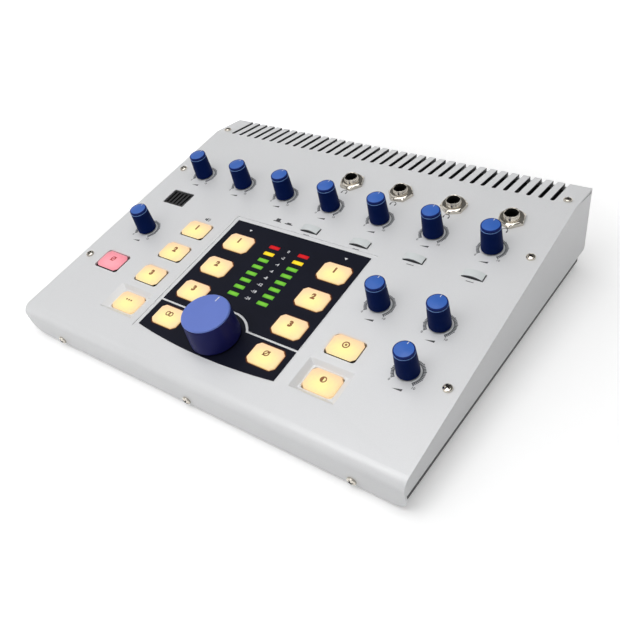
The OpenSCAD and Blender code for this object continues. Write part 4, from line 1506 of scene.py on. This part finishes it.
@dataclass
class LitCap:
    """A lit push cap with cut corners, and the light that leaks round it."""

    width: float = 20.8
    depth: float = 15.0
    cut: float = 2.4
    thick: float = 4.2
    rise: float = 1.5
    travel: float = 1.2
    drop: float = 14.0
    spill: float = 2.4
    bright: float = 1.15
    overlay_columns: tuple[int, int] = (2, 4)

    def outline(self) -> Outline:
        """The cap seen from above."""
        return cut_rectangle(self.width, self.depth, self.cut, 0.9)

    def build(self, name: str, column: int, rank: int, legend: Legend,
              sunk: float = 0.0, finish: Finish = CREAM) -> None:
        """Makes the cap; where it stands out of the plain panel, its foot is painted dark as
        shade.

        Args:
            name: The part it stands for, and its body.
            column: Its column.
            rank: Its row.
            legend: What is printed on it.
            sunk: How much lower than the others it is.
            finish: Its lit plastic.
        """
        top = self.rise - sunk
        x, s = CASE.lit(column), CASE.rank(rank)
        place = CASE.on_panel(x, s, top)
        line = soft_profile([(3.0, 0.0, 0), (1.1, -0.03, 0.8), (0.08, -0.62, 0.6),
                             (0.0, -self.bright, 0.0), (0.0, -1.5, 0.3),
                             (0.0, -self.thick + 0.1, 0.1), (0.4, -self.thick, 0.1),
                             (1.2, -self.thick, 0)], 5)
        cap = stack(self.outline(), line).mapped(self.width, self.depth)
        # Below the lit depth the foot is painted dark as the shade line round the cap's base.
        if column not in self.overlay_columns and sunk < 1.0:
            cap.second = cap.middles()[:, 2] < -self.bright
        low = -self.drop - top + 1.0 + self.travel + 0.3
        piece = Piece(f"{name}_look").add(cap, place, finish, CAP_FOOT_SHADE)
        piece.add(rod(2.0, -self.thick + 0.01, low, 24), place, PALE)
        ink = RED_INK if finish is PINK else BROWN_INK
        for shell in legend.shells():
            piece.add(shell, CASE.on_panel(x, s, top + INK_LIFT), ink)
        piece.build(name, [name], "cap_pink" if finish is PINK else "cap_cream")

    def leak(self, piece: Piece, column: int, rank: int, height: float, gap: float,
             even: bool, finish: Finish) -> None:
        """The glow on the surface round a cap, as a flat ring just above it.

        An uneven glow's share at the angle a round the cap is 0.25 + 0.9 cos(a - 128 degrees).

        Args:
            piece: The piece that gathers the glow.
            column: The cap's column.
            rank: The cap's row.
            height: The surface's height over the panel's plane.
            gap: Width of the gap round the cap.
            even: Whether it is as strong on every side; if not it leans to the rear left.
            finish: The light.
        """
        reach = -gap - np.linspace(0.0, self.spill * (0.6 if even else 1.0), 5)
        ring = stack(self.outline(), np.column_stack([reach, np.full(5, height)]), False)
        angle = np.arctan2(ring.points[:, 1] * self.width, ring.points[:, 0] * self.depth)
        lean = np.clip(np.cos(angle - math.radians(128.0)) * 0.9 + 0.25, 0.0, 1.0)
        ring.uv = np.column_stack([np.ones(len(lean)) if even else lean, ring.uv[:, 1]])
        piece.add(ring, CASE.on_panel(CASE.lit(column), CASE.rank(rank)), finish)


@dataclass
class SourceCap:
    """A grey cap whose top is an arch across X, with its walls painted darker as shade."""

    width: float = 13.6
    depth: float = 5.6
    rise: float = 2.4
    ends: float = 0.9
    skirt: float = 3.2
    count: int = 29

    def build(self, name: str, column: float, s: float) -> None:
        """Makes the cap as a grid whose outer rows fall over its rounded rim.

        The arch is z = rise - sag (x / half width)^2, and the rim's drop is added along y.

        Args:
            name: The part it stands for, and its body.
            column: Its column.
            s: Its slope position.
        """
        place = CASE.on_panel(CASE.col(column), s)
        sag, half, count = self.rise - self.ends, self.width / 2.0, self.count
        x = np.sin(np.linspace(-0.5, 0.5, count) * math.pi)
        edge = soft_profile([(0.0, 0.0, 0), (self.depth / 2.0 - 0.02, 0.0, 0.45),
                             (self.depth / 2.0, -0.5, 0)], 5)
        y = np.concatenate([-edge[::-1, 0], edge[1:, 0]])
        drop = np.concatenate([edge[::-1, 1], edge[1:, 1]])
        gx, gy = np.meshgrid(x * half, y, indexing="ij")
        gz = (self.rise - sag * x ** 2)[:, None] + drop[None, :]
        cols = len(y)
        along, up = np.arange(count), np.arange(cols)
        rim = np.concatenate([along * cols, (count - 1) * cols + up[1:-1],
                              along[::-1] * cols + cols - 1, up[-2:0:-1]])
        top = np.stack([gx, gy, gz], axis=-1).reshape(-1, 3)
        low = top[rim] * np.array([1.0, 1.0, 0.0]) - np.array([0.0, 0.0, self.skirt])
        i, j = np.meshgrid(np.arange(count - 1), np.arange(cols - 1), indexing="ij")
        quads = np.stack([i * cols + j, (i + 1) * cols + j, (i + 1) * cols + j + 1,
                          i * cols + j + 1], axis=-1).reshape(-1, 4)
        base, total = count * cols, len(rim)
        ring = np.arange(total)
        after = (ring + 1) % total
        walls = np.stack([rim, base + ring, base + after, rim[after]], axis=-1)
        faces = quads.tolist() + walls.tolist() + [tuple(range(base + total - 1, base - 1, -1))]
        shell = Shell(np.vstack([top, low]), faces, second=np.arange(len(faces)) >= len(quads))
        # The walls are painted dark as shade; the top keeps the cap's grey.
        piece = Piece(f"{name}_look").add(shell, place, GREY_CAP, GREY_CAP_SHADE)
        piece.add(rod(2.0, -self.skirt + 0.01, -11.1, 24), place, BLACK)
        piece.build(name, [name], "cap_grey", 40.0)


@dataclass
class MeterLamps:
    """The lamps of both columns of the meter, each a lens with rounded edges."""

    width: float = 8.4
    depth: float = 3.1
    span: float = 24.3

    def build(self, name: str, rows: range, finish: Finish, slot: str) -> None:
        """Makes the lamps of some rows of both columns.

        Args:
            name: The part they stand for.
            rows: The rows, from the rear.
            finish: Their lit plastic.
            slot: The record's material slot.
        """
        piece = Piece(f"{name}_look")
        line = soft_profile([(1.35, -0.02, 0), (0.5, -0.04, 0.3), (0.02, -0.16, 0.2),
                             (0.0, -0.5, 0.1), (0.0, -5.0, 0.0), (0.4, -5.0, 0)], 4)
        lens = stack(rectangle(self.width, self.depth, 0.55), line)
        lens.mapped(self.width, self.depth)
        for row in rows:
            for side in (-0.5, 0.5):
                piece.add(lens, CASE.on_panel(CASE.overlay_shift + side * self.span,
                                              CASE.meter_top - row * CASE.meter_pitch), finish)
        piece.build("case", [name], slot)


@dataclass
class PhonesJack:
    """A jack socket: a square body and a threaded bush round one open bore."""

    bore: float = 3.25
    bush: float = 5.1
    rise: float = 6.0
    side: float = 15.0
    depth: float = 23.0
    turns: int = 96

    def build(self, name: str, columns: Sequence[int], s: float) -> None:
        """Makes the sockets as one spun surface each, round for the bush, square below.

        The square's radius at the angle a is side / 2 / max(|cos a|, |sin a|).

        Args:
            name: The part they stand for.
            columns: Their columns.
            s: Their slope position.
        """
        a = np.arange(self.turns) * (2.0 * math.pi / self.turns)
        square = self.side / 2.0 / np.maximum(np.abs(np.cos(a)), np.abs(np.sin(a)))
        under = -CASE.sheet
        deep = under - self.depth
        floor = deep + 1.5
        thread = np.linspace(self.rise - 0.9, 0.0, 57)
        ridges = self.bush - 0.12 + 0.12 * np.cos((thread - thread[0]) * 7.85)
        mouth = soft_profile([(self.bore, self.rise - 1.9, 0),
                              (self.bush - 0.75, self.rise - 0.3, 0.5),
                              (self.bush - 0.5, self.rise, 0.25),
                              (self.bush - 0.2, self.rise, 0.15),
                              (self.bush, self.rise - 0.9, 0.15)], 4)
        bush = np.vstack([[[0.0, floor], [self.bore, floor], [self.bore, floor + 0.01]],
                          mouth[:-1], np.column_stack([ridges, thread]),
                          [[self.bush - 0.05, under]]])
        body = ((0.97, under), (1.0, under - 0.3), (1.0, deep + 0.3), (0.97, deep), (0.0, deep))
        radii = np.vstack([np.repeat(bush[:, :1], self.turns, axis=1)]
                          + [square * share for share, _ in body])
        shell = spun(radii, np.concatenate([bush[:, 1], [z for _, z in body]]))
        middles = shell.middles()
        reach = np.hypot(middles[:, 0], middles[:, 1])
        # Below the panel is the black body; the bore and the inner mouth of the bush are painted
        # near black as shade.
        shell.second = (middles[:, 2] < under) | (reach < self.bush - 0.78)
        piece = Piece(f"{name}_look")
        for column in columns:
            piece.add(shell, CASE.on_panel(CASE.col(column), s), NICKEL, BORE_SHADE_AND_BODY)
        piece.build("case", [name], "nickel")


@dataclass
class Hardware:
    """Screws and nuts of plated metal."""

    head: float = 2.9
    lift: float = 2.0
    fall: float = 0.62
    shank: float = 1.4
    arm: float = 2.0
    arm_width: float = 0.5
    flats: float = 16.2
    bore: float = 5.15
    nut_height: float = 3.0
    nut_turns: int = 96

    def screw(self, piece: Piece, place: Place, turn: float, length: float = 6.0) -> None:
        """Adds a pan-head screw whose cross recess is a star painted dark as shade on a domed
        head.

        Args:
            piece: The piece that gathers the screws.
            place: Where its head sits.
            turn: The recess's angle, in radians.
            length: The shank's length.
        """
        crown = dome(self.head - 0.35, self.lift, self.fall, power=2.2)
        rim = soft_profile([(*crown[-1], 0), (self.head, self.lift - 0.95, 0.5),
                            (self.head, 0.12, 0.3), (self.head - 0.15, 0.0, 0.1),
                            (self.shank, 0.0, 0.0), (self.shank, -length, 0)], 4)
        piece.add(lathe(np.vstack([crown[:-1], rim, [[0.0, -length]]]), 40), place, NICKEL)
        for quarter in (0.0, math.pi / 2.0):
            # The cross recess is painted dark as shade.
            piece.add(self.bar(turn + quarter), place, RECESS_SHADE)

    def bar(self, turn: float) -> Shell:
        """One bar of a cross recess, painted dark as its shade, narrower at its ends, that
        follows the dome.

        Its half width is arm_width (1 - 0.35 |x| / arm); z = lift - fall (r / rim)^2.2.

        Args:
            turn: Its angle, in radians.

        Returns:
            The surface.
        """
        x = np.linspace(-self.arm, self.arm, 9)
        half = self.arm_width * (1.0 - 0.35 * np.abs(x) / self.arm)
        p = turned(np.column_stack([np.tile(x, 2), np.concatenate([-half, half])]), turn)
        reach = np.linalg.norm(p, axis=1) / (self.head - 0.35)
        z = self.lift - self.fall * reach ** 2.2 + INK_LIFT
        return Shell(np.column_stack([p, z]), [(i, i + 1, i + 10, i + 9) for i in range(8)])

    def nut(self, piece: Piece, place: Place, turn: float) -> None:
        """Adds a hexagon nut: rings of a hexagon, drawn in at the top to a round face.

        Each ring's radius is the lesser of the hexagon's, flats / 2 / cos(a), and the cone's.

        Args:
            piece: The piece that gathers the nuts.
            place: Where it sits.
            turn: Its angle, in radians.
        """
        a = np.arange(self.nut_turns) * (2 * math.pi / self.nut_turns)
        hexagon = self.flats / 2.0 / np.cos((a - turn + math.pi / 6) % (math.pi / 3)
                                            - math.pi / 6)
        r, h = self.flats / 2.0, self.nut_height
        cone = ((r - 0.9, h), (r - 0.55, h - 0.12), (r + 0.3, h - 0.72), (r + 1.2, h - 1.3),
                (r + 1.2, 0.25), (r + 1.0, 0.0))
        rows = ([(self.bore, h - 0.35), (self.bore + 0.35, h)]
                + [(np.minimum(hexagon, each), z) for each, z in cone] + [(self.bore, 0.0)])
        radii = np.vstack([row + 0.0 * a for row, _ in rows])
        piece.add(spun(radii, np.array([z for _, z in rows]), True), place, NICKEL)


@dataclass
class PanelPrint:
    """The marks printed on the panel and the overlay."""

    layer: float = 0.02
    arc_in: float = 7.9
    arc_out: float = 9.7
    ticks: int = 41
    scale: tuple[str, ...] = ("0", "-2", "-4", "-6", "-8", "-12", "-18", "-24")

    def dial(self, piece: Piece, place: Place) -> None:
        """A ring of short ticks over 270 degrees, with a fine inner line.

        Args:
            piece: The piece that gathers the dials.
            place: The knob's middle.
        """
        piece.add(flat_ring(self.arc_in - 0.14, self.arc_in + 0.3, -48.0, 228.0), place,
                  GREY_INK)
        for k in range(self.ticks):
            long = 0.35 if k % 5 == 0 else 0.0
            tick = flat_bar(self.arc_out - self.arc_in + long, 0.78,
                            (self.arc_out + self.arc_in + long) / 2.0, 0.0,
                            -45.0 + 270.0 * k / (self.ticks - 1))
            piece.add(tick, place, GREY_INK)

    def wedge(self) -> list[Shell]:
        """A rising wedge, for more and less."""
        return [flat_patch([(-3.0, -0.75), (3.0, -0.75), (3.0, 0.85)])]

    def headset(self) -> list[Shell]:
        """A band over two pads."""
        return [flat_ring(1.75, 2.25, 0.0, 180.0), flat_bar(0.95, 1.7, -1.8, -0.6),
                flat_bar(0.95, 1.7, 1.8, -0.6)]

    def horn(self) -> list[Shell]:
        """A loudspeaker with two waves."""
        cone = flat_patch([(-0.9, -0.75), (0.5, -1.9), (0.5, 1.9), (-0.9, 0.75)])
        return [flat_bar(1.2, 1.5, -1.6, 0.0), cone, flat_ring(1.3, 1.7, -48.0, 48.0),
                flat_ring(2.2, 2.6, -48.0, 48.0)]

    def pushed(self, depth: float) -> list[Shell]:
        """A push cap over its base line, standing up by depth."""
        return [flat_bar(6.6, 0.85, 0.0, -0.4), flat_bar(3.4, depth, 0.0, depth / 2.0)]

    def sign(self, piece: Piece, shells: list[Shell], x: float, s: float) -> None:
        """Prints a sign on the panel at (x, s)."""
        for shell in shells:
            piece.add(shell, CASE.on_panel(x, s, self.layer), DARK_INK)

    def build(self) -> None:
        """Prints the dials, the scale and the small signs."""
        grey, dark, white = (Piece(name) for name in
                             ("panel_dials", "panel_signs", "overlay_signs"))
        for _, column, s in KNOBS:
            place = CASE.on_panel(CASE.col(column), s, self.layer)
            self.dial(grey, place)
            dark.add(numeral("0", 1.7, -7.2, -8.6, 0.02), place, DARK_INK)
            dark.add(numeral("10", 1.7, 7.7, -8.6, 0.02), place, DARK_INK)
            self.sign(dark, self.wedge(), CASE.col(column), s - 12.4)
        grey.build()
        for column in PHONES_COLUMNS:
            self.sign(dark, self.headset(), CASE.col(column), CASE.jack_row - 11.0)
            self.sign(dark, [flat_bar(5.0, 0.5)], CASE.col(column), CASE.source_row - 5.6)
        self.sign(dark, self.horn(), CASE.lit(1), CASE.rank(4) + 12.6)
        self.sign(dark, self.pushed(2.6), CASE.col(2) + 11.5, CASE.icon_row)
        self.sign(dark, self.pushed(1.1), CASE.col(2) + 21.5, CASE.icon_row)
        dark.build()
        for k, text in enumerate(self.scale):
            place = CASE.on_panel(CASE.overlay_shift, CASE.meter_top - CASE.meter_pitch * k)
            white.add(numeral(text, 2.3, weight=0.03), place, WHITE_INK)
        arrow = flat_patch([(-1.3, 0.8), (0.0, -0.9), (1.3, 0.8)])
        for column in (2, 4):
            white.add(arrow, CASE.on_panel(CASE.lit(column), CASE.arrow_row), WHITE_INK)
        white.build()


# ------------------------------------------------------------------- the studio


@dataclass
class Studio:
    """The floor, the lamps and the camera of the photograph's viewing angle."""

    camera_at: Colour = (0.27302, -0.31363, 0.30607)
    axes: tuple[Colour, Colour, Colour] = (
        (0.8038751, 0.58320851, -0.11684458),
        (-0.28393899, 0.5488847, 0.78619605),
        (0.52265044, -0.5988267, 0.60683038),
    )
    focal: float = 723.19
    pixels: float = 620.0
    left: float = 0.74
    right: float = 0.265
    above: float = 0.03
    floor_lift: float = 0.36
    floor_half: float = 6.0
    steep: float = 0.98

    def stand(self, thing: bpy.types.Object, columns: Array, at: Colour) -> None:
        """Stands an object at a point, with its own axes along the columns.

        Args:
            thing: The lamp or camera.
            columns: Its three axes, one to a column.
            at: The point.
        """
        matrix = np.eye(4)
        matrix[:3, :3] = columns
        matrix[:3, 3] = at
        thing.matrix_world = Matrix(matrix.tolist())

    def camera(self) -> None:
        """A camera with the lens focal / pixels x 36 mm, so both views have the same angle."""
        data = bpy.data.cameras.new("camera")
        data.sensor_width = 36.0
        data.lens = self.focal / self.pixels * data.sensor_width
        data.clip_start = 0.01
        data.dof.use_dof = False
        view = linked("camera", data)
        self.stand(view, np.array(self.axes).T, self.camera_at)
        bpy.context.scene.camera = view

    def lamp(self, name: str, at: Colour, aim: Colour, size: float, power: float) -> None:
        """A soft square lamp; one that looks nearly straight down is lined up with +Y.

        Args:
            name: Its name.
            at: Where it stands.
            aim: What it looks at.
            size: Its side.
            power: Its power, in watts.
        """
        data = bpy.data.lights.new(name, "AREA")
        data.shape, data.size, data.size_y = "RECTANGLE", size, size
        data.energy = power
        back = np.array(at) - np.array(aim)
        back /= np.linalg.norm(back)
        up = [0.0, 0.0, 1.0] if abs(back[2]) < self.steep else [0.0, 1.0, 0.0]
        side = np.cross(up, back)
        side /= np.linalg.norm(side)
        self.stand(linked(name, data), np.column_stack([side, np.cross(back, side), back]), at)

    def seen(self, graph: Graph) -> Value:
        """Says 1 for the rays that show the background: the camera's, and through gloss.

        Args:
            graph: The graph that asks.

        Returns:
            1 or 0.
        """
        path = graph.add("ShaderNodeLightPath")
        camera, gloss, through = (Value(graph, path.outputs[name]) for name in
                                  ("Is Camera Ray", "Is Glossy Ray", "Is Transmission Ray"))
        return camera.most(gloss).most(through)

    def floor(self) -> None:
        """A pale floor that the camera sees as white but for the object's shadow.

        What it adds for the camera grows with the distance, where the lamps light it less.
        """
        graph = Graph(bpy.data.materials.new("studio_floor"))
        x, y, _ = graph.split(graph.place())
        far = (x * x + y * y).root().ramp(0.2, 0.55)
        diffuse = graph.add("ShaderNodeBsdfDiffuse", {}, {"Color": (0.78, 0.78, 0.78)})
        glow = graph.add("ShaderNodeEmission", {}, {
            "Color": WHITE, "Strength": self.seen(graph) * (far + self.floor_lift)})
        both = graph.add("ShaderNodeAddShader", {}, {0: diffuse.outputs[0], 1: glow.outputs[0]})
        graph.add("ShaderNodeOutputMaterial", {}, {0: both.outputs[0]})
        mesh = bpy.data.meshes.new("floor")
        h = self.floor_half
        mesh.from_pydata([(-h, -h, 0), (h, -h, 0), (h, h, 0), (-h, h, 0)], [], [(0, 1, 2, 3)])
        mesh.materials.append(graph.owner)
        linked("floor", mesh)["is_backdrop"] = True

    def world(self) -> None:
        """White for the camera; for all else a soft light from both sides.

        With the ray's direction as (x, y, z), its strength is left max(-x, 0) +
        right max(x, 0) + above max(z, 0). Gloss sees the white dimmer overhead.
        """
        graph = Graph(bpy.data.worlds.new("studio"))
        direction = graph.add("ShaderNodeTexCoord").outputs["Generated"]
        x, _, z = graph.split(direction)
        strength = ((-x).positive() * self.left + x.positive() * self.right
                    + z.positive() * self.above)
        soft = graph.add("ShaderNodeBackground", {}, {"Color": WHITE, "Strength": strength})
        camera = Value(graph, graph.add("ShaderNodeLightPath").outputs["Is Camera Ray"])
        dim = camera.most(1.0 - z.ramp(0.25, 0.6) * 0.85)
        white = graph.add("ShaderNodeBackground", {}, {"Color": WHITE, "Strength": dim})
        mix = graph.add("ShaderNodeMixShader", {}, {0: self.seen(graph), 1: soft.outputs[0],
                                                    2: white.outputs[0]})
        graph.add("ShaderNodeOutputWorld", {}, {0: mix.outputs[0]})
        bpy.context.scene.world = graph.owner

    def build(self) -> None:
        """Sets up the whole studio."""
        bpy.context.scene.view_settings.view_transform = "Standard"
        self.camera()
        self.floor()
        self.world()
        self.lamp("top", (0.1, -0.2, 1.1), (0.0, -0.05, 0.03), 0.9, 7.1)
        self.lamp("near", (-0.1, -0.55, 0.6), (0.0, -0.12, 0.03), 0.5, 1.35)
        self.lamp("side", (-1.1, -0.2, 1.1), (0.0, 0.0, 0.03), 0.9, 1.1)
        self.lamp("sheen", (-0.65, 0.30, 1.05), (0.0, 0.0, 0.03), 0.5, 0.65)


# ------------------------------------------------- which faces and edges differ


def cover_folds(first: Array, last: Array) -> Array:
    """How much the cover's edges are rounded: its wells fully, its side folds by a share.

    Each end is turned into the panel's own frame. There a well's edges lie within its rim's
    rectangle and from the outer skin down to its floor. A side fold's ends lie on a side's
    outer face and on the outer line of the lip, the nose, the panel or the slotted strip.

    Args:
        first: One end of each edge, in millimetres.
        last: The other end.

    Returns:
        Each edge's share.
    """
    well, side = np.ones(len(first), bool), np.ones(len(first), bool)
    for ends in (first, last):
        panel = CASE.on_panel(0.0, 0.0).local(ends)
        rear = CASE.on_strip(0.0).local(ends)
        near = np.zeros(len(ends), bool)
        for column in (1, 5):
            dx = np.abs(panel[:, 0] - CASE.lit(column))
            dy = np.abs(panel[:, 1] - CASE.rank(1))
            near |= ((dx < CASE.well_rim[0]) & (dy < CASE.well_rim[1])
                     & ((dx > CASE.well_floor[0]) | (dy > CASE.well_floor[1])))
        s, n, r = panel[:, 1], panel[:, 2], CASE.nose_r
        well &= near & (n > -CASE.well_depth - 0.1) & (n < 0.05)
        line = (np.abs(n) < 0.03) & (s > r - 0.1) & (s < CASE.panel_len + 0.1)
        line |= (np.abs(np.hypot(s - r, n + r) - r) < 0.05) & (s < r + 0.1) & (n > -r - 0.1)
        line |= (np.abs(s) < 0.03) & (n < -r + 0.1)
        line |= (np.abs(rear[:, 2]) < 0.03) & (rear[:, 1] > -0.1)
        side &= line & (np.abs(ends[:, 0]) > CASE.width / 2.0 - 0.05)
    return well * 1.0 + side * CASE.side_share


def slot_walls(middles: Array) -> Array:
    """The cut walls of the vent slots, inside the slotted strip's thickness, which are painted
    near black as the shade inside the slots.

    Args:
        middles: The faces' middles, in millimetres.

    Returns:
        Which faces they are.
    """
    local = CASE.on_strip(0.0).local(middles)
    inside = (local[:, 2] < -0.15) & (local[:, 2] > -CASE.sheet + 0.1)
    return inside & (local[:, 1] > 0.9) & (np.abs(local[:, 0]) < CASE.slots_half)


def past_column(middles: Array) -> Array:
    """How far in X the faces are past the nearest column of rear sockets."""
    return middles[:, 0] - np.round(middles[:, 0] / CASE.rear_column) * CASE.rear_column


def bush_faces(middles: Array) -> Array:
    """The faces of the rear sockets' metal: outside the rear panel, and clear of the bores.

    Args:
        middles: The faces' middles, in millimetres.

    Returns:
        Which faces they are.
    """
    z = middles[:, 2] - CASE.rear_low
    r = np.hypot(past_column(middles), np.minimum(np.abs(z), np.abs(z - CASE.rear_rise)))
    return (r > 3.3) & (r < 6.5) & (middles[:, 1] > CASE.rear_face - 4.0)


def barrel_faces(middles: Array) -> Array:
    """The faces of the coaxial sockets' metal barrels: all that stands outside the panel."""
    return middles[:, 1] > CASE.rear_face - 0.5


def pin_faces(middles: Array) -> Array:
    """The faces of the power socket's centre pin, which stands on its axis."""
    return np.hypot(past_column(middles), middles[:, 2] - CASE.rear_low) < 1.3


# --------------------------------------------------------------------- assembly


def dress_parts(frame: Frame) -> None:
    """Finishes the parts whose own meshes stay or are softened.

    Args:
        frame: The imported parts.
    """
    # The vent slots' walls get the painted slot shade.
    frame.soften("top_cover", SILVER, CASE.fold_width, other=SLOT_SHADE, rule=slot_walls,
                 folds=cover_folds)
    frame.dress("control_overlay", FILM)
    for node, finish, width in (
            ("base_tray", DARK_SHEET, 0.2),
            ("meter_block", BLACK, 0.2), ("control_board", BOARD, 0.12),
            ("phones_board", BOARD, 0.12), ("rear_board", BOARD, 0.12),
            ("control_pots", STEEL, 0.25), ("lit_switches", PALE, 0.25),
            ("source_switches", BLACK, 0.25), ("mic_capsule", STEEL, 0.25),
            ("ribbon_cable", RIBBON, 0.08), ("board_posts", STEEL, 0.2),
            ("board_screws", STEEL, 0.12), ("rubber_feet", RUBBER, 0.5), ("relays", PALE, 0.4),
            ("mic_grille", BLACK, 0.15), ("ground_post", NICKEL, 0.25),
            ("power_switch", BLACK, 0.3)):
        frame.soften(node, finish, width)
    frame.soften("power_rocker", BLACK, 0.3, "power_rocker")
    frame.soften("rear_jacks", BLACK, 0.2, other=NICKEL, rule=bush_faces)
    frame.soften("rca_sockets", BLACK, 0.2, other=NICKEL, rule=barrel_faces)
    frame.soften("power_inlet", BLACK, 0.25, other=NICKEL, rule=pin_faces)


def build_caps() -> None:
    """Makes the lit caps and the glow round them."""
    cap = LitCap()
    for name, column, rank, legend, sunk, finish in (
            ("cap_speaker_1", 1, 4, Legend.ONE, 0.0, CREAM),
            ("cap_speaker_2", 1, 3, Legend.TWO, 0.0, CREAM),
            ("cap_speaker_3", 1, 2, Legend.THREE, 0.0, CREAM),
            ("cap_main_1", 2, 4, Legend.ONE, 0.0, CREAM),
            ("cap_main_2", 2, 3, Legend.TWO, 0.0, CREAM),
            ("cap_main_3", 2, 2, Legend.THREE, 0.0, CREAM),
            ("cap_mono", 2, 1, Legend.RING, 0.0, CREAM),
            ("cap_cue_1", 4, 4, Legend.ONE, 0.0, CREAM),
            ("cap_cue_2", 4, 3, Legend.TWO, 0.0, CREAM),
            ("cap_cue_3", 4, 2, Legend.THREE, 0.0, CREAM),
            ("cap_mute", 4, 1, Legend.BAR, 0.0, CREAM),
            ("cap_phono", 5, 2, Legend.DISC, 0.0, CREAM),
            ("cap_dim", 5, 1, Legend.HALF, CASE.well_depth, CREAM),
            ("cap_talk", 1, 1, Legend.DOTS, CASE.well_depth, CREAM),
            ("cap_red", 0, 2, Legend.BAR, 0.5, PINK)):
        cap.build(name, column, rank, legend, sunk, finish)
    leaks = Piece("cap_glow")
    for column in cap.overlay_columns:
        for rank in (1, 2, 3, 4):
            cap.leak(leaks, column, rank, 0.0, 0.0, True, AMBER_LEAK)
    for column, rank in ((1, 2), (1, 3), (1, 4), (5, 2)):
        cap.leak(leaks, column, rank, INK_LIFT, 0.02, False, WARM_LEAK)
    cap.leak(leaks, 0, 2, INK_LIFT, 0.02, False, PINK_LEAK)
    for column in (1, 5):
        cap.leak(leaks, column, 1, INK_LIFT - CASE.well_depth, 0.02, True, WARM_LEAK)
    leaks.build()


def build_hardware() -> None:
    """Makes the case screws and the nuts of all jack sockets."""
    hardware = Hardware()
    screws = Piece("case_screws_look")
    spots = [(x, s) for s in CASE.screw_rows for x in (-CASE.screw_x, CASE.screw_x)]
    for k, (x, s) in enumerate(spots):
        hardware.screw(screws, CASE.on_panel(x, s), 0.4 + 0.7 * k)
    for k, x in enumerate((-CASE.screw_x, CASE.screw_x)):
        hardware.screw(screws, CASE.on_strip(x, CASE.strip_screw), 0.9 + k)
    for k, x in enumerate((-CASE.lip_screw_x, 0.0, CASE.lip_screw_x)):
        hardware.screw(screws, CASE.on_lip(x, CASE.lip_screw_down), 0.2 + 0.8 * k, 5.0)
    screws.build("case", ["case_screws"], "nickel")
    nuts = Piece("jack_nuts_look")
    for k, column in enumerate(PHONES_COLUMNS):
        hardware.nut(nuts, CASE.on_panel(CASE.col(column), CASE.jack_row), 0.35 + 0.3 * k)
    for column in range(-4, 3):
        for level in (0,) if column == -4 else (0, 1):
            hardware.nut(nuts, CASE.on_rear(column, level), math.pi / 4)
    nuts.build("case", ["jack_nuts"], "nickel")


def main() -> None:
    """Builds the object in order."""
    logging.basicConfig(level=logging.INFO, format="%(name)s: %(message)s")
    frame = Frame()
    Studio().build()
    dress_parts(frame)
    for name, column, s in KNOBS:
        Knob().build(name, column, s)
    MainKnob().build("knob_main", 3, CASE.rank(1))
    build_caps()
    lamps = MeterLamps()
    lamps.build("meter_red", range(0, 1), RED_LAMP, "lamp_red")
    lamps.build("meter_yellow", range(1, 2), YELLOW_LAMP, "lamp_yellow")
    lamps.build("meter_green", range(2, 8), GREEN_LAMP, "lamp_green")
    PhonesJack().build("phones_jacks", PHONES_COLUMNS, CASE.jack_row)
    for k, column in enumerate(PHONES_COLUMNS):
        SourceCap().build(f"source_cap_{k + 1}", column, CASE.source_row)
    build_hardware()
    PanelPrint().build()


if __name__ == "__main__":
    main()
